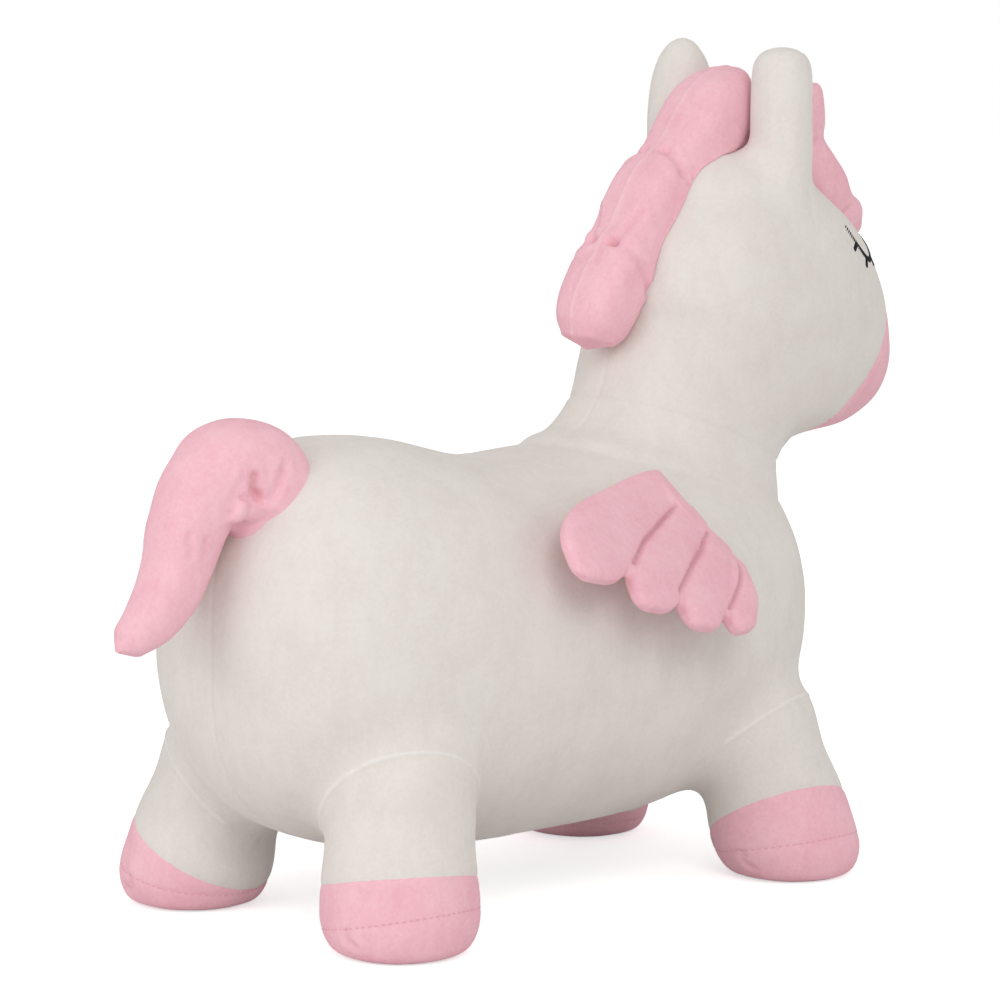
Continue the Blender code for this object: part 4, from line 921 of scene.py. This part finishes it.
TAIL_CREASES = (
    (0.0042, 0.0026, ((-0.2453, -0.0332, 0.2918), (-0.2451, -0.0309, 0.2843), (-0.2390, -0.0278, 0.2760))),
    (0.0022, 0.0024, ((-0.2250, -0.0400, 0.3000), (-0.2300, -0.0385, 0.2880), (-0.2345, -0.0345, 0.2760))),
    (0.0026, 0.0030, ((-0.2480, -0.0360, 0.2985), (-0.2560, -0.0330, 0.2850), (-0.2620, -0.0290, 0.2700))),
    (0.0026, 0.0018, ((-0.2530, -0.0300, 0.2790), (-0.2470, -0.0265, 0.2745), (-0.2476, -0.0230, 0.2665))),
    (0.0016, 0.0018, ((-0.2762, -0.0238, 0.2545), (-0.2766, -0.0234, 0.2491), (-0.2770, -0.0228, 0.2436))),
    (0.0014, 0.0020, ((-0.2855, -0.0202, 0.2599), (-0.2866, -0.0205, 0.2527), (-0.2855, -0.0218, 0.2455))),
)


def lobe(x, y, z, radius):
    c, s = section(24, 2.0)
    levels = np.linspace(-1, 1, 14)[1:-1]
    rings = []
    for level in levels:
        girth = math.sqrt(1 - level ** 2)
        rings.append(np.column_stack([x + c * radius * girth, y + s * radius * girth,
                                      np.full(len(c), z + radius * level)]))
    return lofted(rings, (x, y, z - radius), (x, y, z + radius))


lobes = [lobe(x, side * y, z, radius) for x, y, z, radius in TAIL_LOBES for side in (1, -1)]
tube = stuffed_tube(TAIL_STATIONS, TAIL_END, TAIL_SIZE, TAIL_ZERO)
shell = felted([tube, *lobes], HAIR_VOXEL, TAIL_PASSES)
packed = stuff(shell, TAIL_CREASES, seam=None, seated=False)
tail = dress(piece_from("tail_plush", shell), PILES["pink"], None,
             ["tail_root", "tail"], packed)
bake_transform(tail)

# Wings: two layers of pink plush sewn together round four feathers, stuffed
# thin and quilted between them.  Each wing's front edge is sewn to the shoulder,
# the left one a little lower.  A feather is a row of back, down and half width.
WING_TOP = (0.0500, 0.073, 0.272)
WING_EDGE = 0.096
WING_LEAN, WING_DROP, WING_REST = 53.1, 67.2, 10.5
WING_STANDOFF = 0.0120
WING_THICKNESS = 0.0165
WING_VOXEL = 0.0015
WING_PASSES = 3
FEATHER_SECTION = (36, 2.5)
FEATHER_RINGS = 40
FEATHER_TIP = 0.5
FEATHERS = (
    ((-0.01, 0.15, 0.14), (0.35, 0.13, 0.18), (0.80, 0.12, 0.22), (1.20, 0.14, 0.27), (1.50, 0.19, 0.24),
     (1.70, 0.23, 0.09)),
    ((-0.02, 0.40, 0.13), (0.30, 0.43, 0.16), (0.60, 0.48, 0.18), (0.95, 0.55, 0.21), (1.20, 0.60, 0.20),
     (1.37, 0.63, 0.08)),
    ((-0.02, 0.65, 0.12), (0.25, 0.71, 0.15), (0.50, 0.79, 0.18), (0.75, 0.86, 0.19), (0.93, 0.91, 0.175),
     (1.05, 0.94, 0.07)),
    ((-0.01, 0.82, 0.09), (0.16, 0.90, 0.13), (0.33, 1.00, 0.15), (0.48, 1.07, 0.15), (0.58, 1.12, 0.135),
     (0.68, 1.17, 0.05)),
    ((0.17, 0.05, 0.14), (0.17, 0.22, 0.16), (0.16, 0.45, 0.15), (0.13, 0.65, 0.12), (0.10, 0.82, 0.07)),
)
QUILTING = (
    ((0.282, 0.286), (0.590, 0.311), (0.893, 0.336), (1.184, 0.406)),
    ((0.160, 0.550), (0.387, 0.616), (0.670, 0.665), (1.003, 0.734)),
    ((0.110, 0.850), (0.353, 0.958), (0.633, 1.032)),
)
QUILT_DEPTH, QUILT_WIDTH = 0.0030, 0.0015
SEWN_EDGE, SEWN_DROP = 0.024, 0.0030
SEWN_SHARE, FILLED_SHARE, FILL_POWER = 0.35, 0.65, 0.7
RIM_WIDTH, RIM_TUCK = 0.0012, 0.0004
# Painted shade down the quilting lines and round the sewn rim.
QUILT_PAINTED_SHADE, RIM_PAINTED_SHADE = 0.55, 0.2
WING_SLIDE = {1: 0.0070, -1: 0.0}


def wing_place():
    lean, drop, rest = (math.radians(angle) for angle in (WING_LEAN, WING_DROP, WING_REST))
    flat = Vector((0.0, math.sin(lean), math.cos(lean)))
    down = Vector((0.0, math.cos(lean), -math.sin(lean)))
    edge = Vector((math.cos(drop), 0.0, 0.0)) + down * math.sin(drop)
    back = Vector((-math.sin(drop), 0.0, 0.0)) + down * math.cos(drop)
    trail = back * math.cos(rest) + flat * math.sin(rest)
    outwards = flat * math.cos(rest) - back * math.sin(rest)
    base = Vector(WING_TOP) + flat * WING_STANDOFF
    return Matrix.Translation(base) @ Matrix((trail, edge, outwards)).transposed().to_4x4()


def feather(stations):
    rows = resampled(stations, FEATHER_RINGS) * WING_EDGE
    along = np.gradient(rows[:, :2], axis=0)
    along /= np.linalg.norm(along, axis=1)[:, None]
    c, s = section(*FEATHER_SECTION)
    rings = []
    widest = rows[:, 2].max()
    for (u, v, half), (tu, tv) in zip(rows, along):
        thick = WING_THICKNESS / 2 * min(1.0, (half / widest) ** 0.5)
        rings.append(np.column_stack([u - tv * half * c, v + tu * half * c, thick * s]))
    tip = rows[-1, :2] + along[-1] * rows[-1, 2] * FEATHER_TIP
    return lofted(rings, None, (tip[0], tip[1], 0.0))


def make_wing(side, left):
    shell = felted([feather(rows) for rows in FEATHERS], WING_VOXEL, WING_PASSES)
    shell.normal_update()
    places = places_of(shell)
    rim = np.exp(-(places[:, 2] / RIM_WIDTH) ** 2)
    level = places * (1, 1, 0)
    filled = np.clip(places[:, 0] / SEWN_EDGE, 0, 1) ** FILL_POWER
    places[:, 2] = places[:, 2] * (SEWN_SHARE + FILLED_SHARE * filled) - SEWN_DROP * (1 - filled)
    quilted = np.max([np.exp(-(near_line(level, np.array([(u, v, 0.0) for u, v in line]) * WING_EDGE)
                               / QUILT_WIDTH) ** 2) for line in QUILTING], axis=0)
    places[:, 2] -= (QUILT_DEPTH * quilted * np.sign(places[:, 2])
                     * np.clip(np.abs(places[:, 2]) / QUILT_DEPTH, 0, 1))
    places -= np.array([vert.normal for vert in shell.verts]) * (RIM_TUCK * rim)[:, None]
    moved_to(shell, places)
    slide = Matrix.Translation((0.0, WING_SLIDE[left], 0.0))
    shell.transform(Matrix.Diagonal((1, left, 1, 1)) @ wing_place() @ slide)
    if left < 0:
        bmesh.ops.reverse_faces(shell, faces=shell.faces)
    seat_on_skin(shell)
    shell.normal_update()
    # The wing's quilting lines and rim are darkened by painted shade.
    wing = dress(piece_from(f"wing_plush_{side}", shell), PILES["pink"], f"wing_{side}",
                 [f"wing_{side}", f"wing_tape_{side}"],
                 np.maximum(QUILT_PAINTED_SHADE * quilted, RIM_PAINTED_SHADE * rim))


make_wing("left", 1)
make_wing("right", -1)

# Inside and underneath: a blown rubber bladder, its moulded valve, and the zip
# in the belly with woven tapes and a moulded slider, tab and stops.
MOULDED = {
    "bladder_skin": (("air_bladder",), (0.52, 0.53, 0.55), (0.60, 0.61, 0.63), 240.0, 0.50),
    "valve_white": (("valve_seat", "valve_plug"), (0.78, 0.78, 0.76), (0.84, 0.84, 0.82), 500.0, 0.38),
    "zip_resin": (("zip_slider", "pull_tab", "zip_stop_front", "zip_stop_hind"),
                  (0.74, 0.73, 0.71), (0.82, 0.81, 0.79), 700.0, 0.42),
}


def moulded(name, deep, pale, grain, roughness):
    recipe = material(name)
    place = recipe.place()
    specks = recipe.noise(place, grain)
    colour = recipe.mix(recipe.noise(place, 60.0, 3.0), rgba(deep), rgba(pale))
    bumps = recipe.node("Bump", None, {"Strength": 0.12, "Distance": 0.0003, "Height": specks})
    return recipe.finish(recipe.node("BsdfPrincipled", None, {
        "Base Color": colour, "Roughness": roughness + 0.12 * specks, "Normal": bumps}))


def woven_tape():
    recipe = material("zip_tape_weave")
    place = recipe.place()
    ribs, yarns = (recipe.node("TexWave", {"wave_type": "BANDS", "bands_direction": way},
                               {"Vector": place, "Scale": scale, "Distortion": 0.4}, "Fac")
                   for way, scale in (("X", 500.0), ("Y", 420.0)))
    weave = ribs * 0.5 + yarns * 0.5
    colour = recipe.mix(weave, (0.66, 0.65, 0.63, 1.0), (0.82, 0.81, 0.79, 1.0))
    bumps = recipe.node("Bump", None, {"Strength": 0.4, "Distance": 0.0003, "Height": weave})
    return recipe.finish(recipe.node("BsdfPrincipled", None, {
        "Base Color": colour, "Roughness": 0.80 + 0.1 * weave, "Normal": bumps}))


def refinish(nodes, finish):
    for node in nodes:
        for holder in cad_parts[node].material_slots:
            holder.material = finish


for name, (nodes, *look) in MOULDED.items():
    refinish(nodes, moulded(name, *look))
refinish(("zip_tape_left", "zip_tape_right"), woven_tape())

# Studio: a white floor that keeps the toy's soft shadow, three broad lamps and a
# pale world, and the camera at the photograph's place.
CAMERA_AZIMUTH = 42.8
FOCAL_PIXELS = 4150.0
RISE_PIXELS = 500.0
CAMERA_DISTANCE = 2.6975
LOOK_AT = (-0.0175, 0.0, 0.2556)
LOOK_SHIFT = 0.0039
PICTURE_PIXELS = 1000.0
SENSOR = 36.0
WORLD_LIGHT = 0.60
FLOOR_GLOW = 0.60
FLOOR_HALF = 12.0
FLOOR_COLOUR = (0.86, 0.86, 0.86)
LAMPS_AIM = (0.0, 0.0, 0.25)
WHITE = (1.0, 1.0, 1.0, 1.0)
LAMPS = {"key": ((-1.5, -2.6, 2.3), 2.0, 33.0), "fill": ((-2.9, 0.2, 1.3), 2.2, 20.0),
         "low": ((1.5, -2.6, 0.9), 2.0, 3.5)}

turn, dip = math.radians(CAMERA_AZIMUTH), math.atan(RISE_PIXELS / FOCAL_PIXELS)
right = Vector((math.cos(turn), -math.sin(turn), 0.0))
forward = Vector((math.sin(turn) * math.cos(dip), math.cos(turn) * math.cos(dip), -math.sin(dip)))
stand = Vector(LOOK_AT) + right * LOOK_SHIFT - forward * CAMERA_DISTANCE
camera = bpy.data.objects.new("camera", bpy.data.cameras.new("camera"))
camera.data.lens = FOCAL_PIXELS / PICTURE_PIXELS * SENSOR
camera.data.sensor_width = SENSOR
camera.data.clip_end = 50.0
facing = Matrix((right, right.cross(forward), -forward)).transposed()
camera.matrix_world = Matrix.Translation(stand) @ facing.to_4x4()
bpy.context.scene.collection.objects.link(camera)
bpy.context.scene.camera = camera


def seen_directly(recipe):
    """1 for what the camera sees straight, in a mirror or through glass."""
    rays = [recipe.node("LightPath", output=name) for name in
            ("Is Camera Ray", "Is Glossy Ray", "Is Transmission Ray")]
    return (rays[0] + rays[1] + rays[2]).ranged(0.0, 1.0)


floor_shell = bmesh.new()
bmesh.ops.create_grid(floor_shell, x_segments=8, y_segments=8, size=FLOOR_HALF)
floor = piece_from("floor", floor_shell)
recipe = material("floor_white")
lit = recipe.node("BsdfDiffuse", None, {"Color": rgba(FLOOR_COLOUR)})
glow = recipe.node("Emission", None, {"Color": WHITE, "Strength": FLOOR_GLOW})
both = recipe.node("AddShader", None, {0: lit, 1: glow})
floor.data.materials.append(recipe.finish(recipe.node("MixShader", None, {
    0: seen_directly(recipe), 1: lit, 2: both})))

world = bpy.data.worlds.new("studio")
bpy.context.scene.world = world
recipe = Recipe(world)
strength = recipe.node("Mix", {"data_type": "FLOAT"}, {0: seen_directly(recipe), 2: WORLD_LIGHT, 3: 1.0})
recipe.finish(recipe.node("Background", None, {"Color": WHITE, "Strength": strength}), "OutputWorld")

for name, (place, size, watts) in LAMPS.items():
    light = bpy.data.lights.new(name, "AREA")
    light.shape = "DISK"
    light.size = size
    light.energy = watts
    holder = bpy.data.objects.new(name, light)
    towards = Vector(LAMPS_AIM) - Vector(place)
    holder.matrix_world = Matrix.Translation(place) @ towards.to_track_quat("-Z", "Y").to_matrix().to_4x4()
    bpy.context.scene.collection.objects.link(holder)
bpy.context.scene.view_settings.view_transform = "Standard"
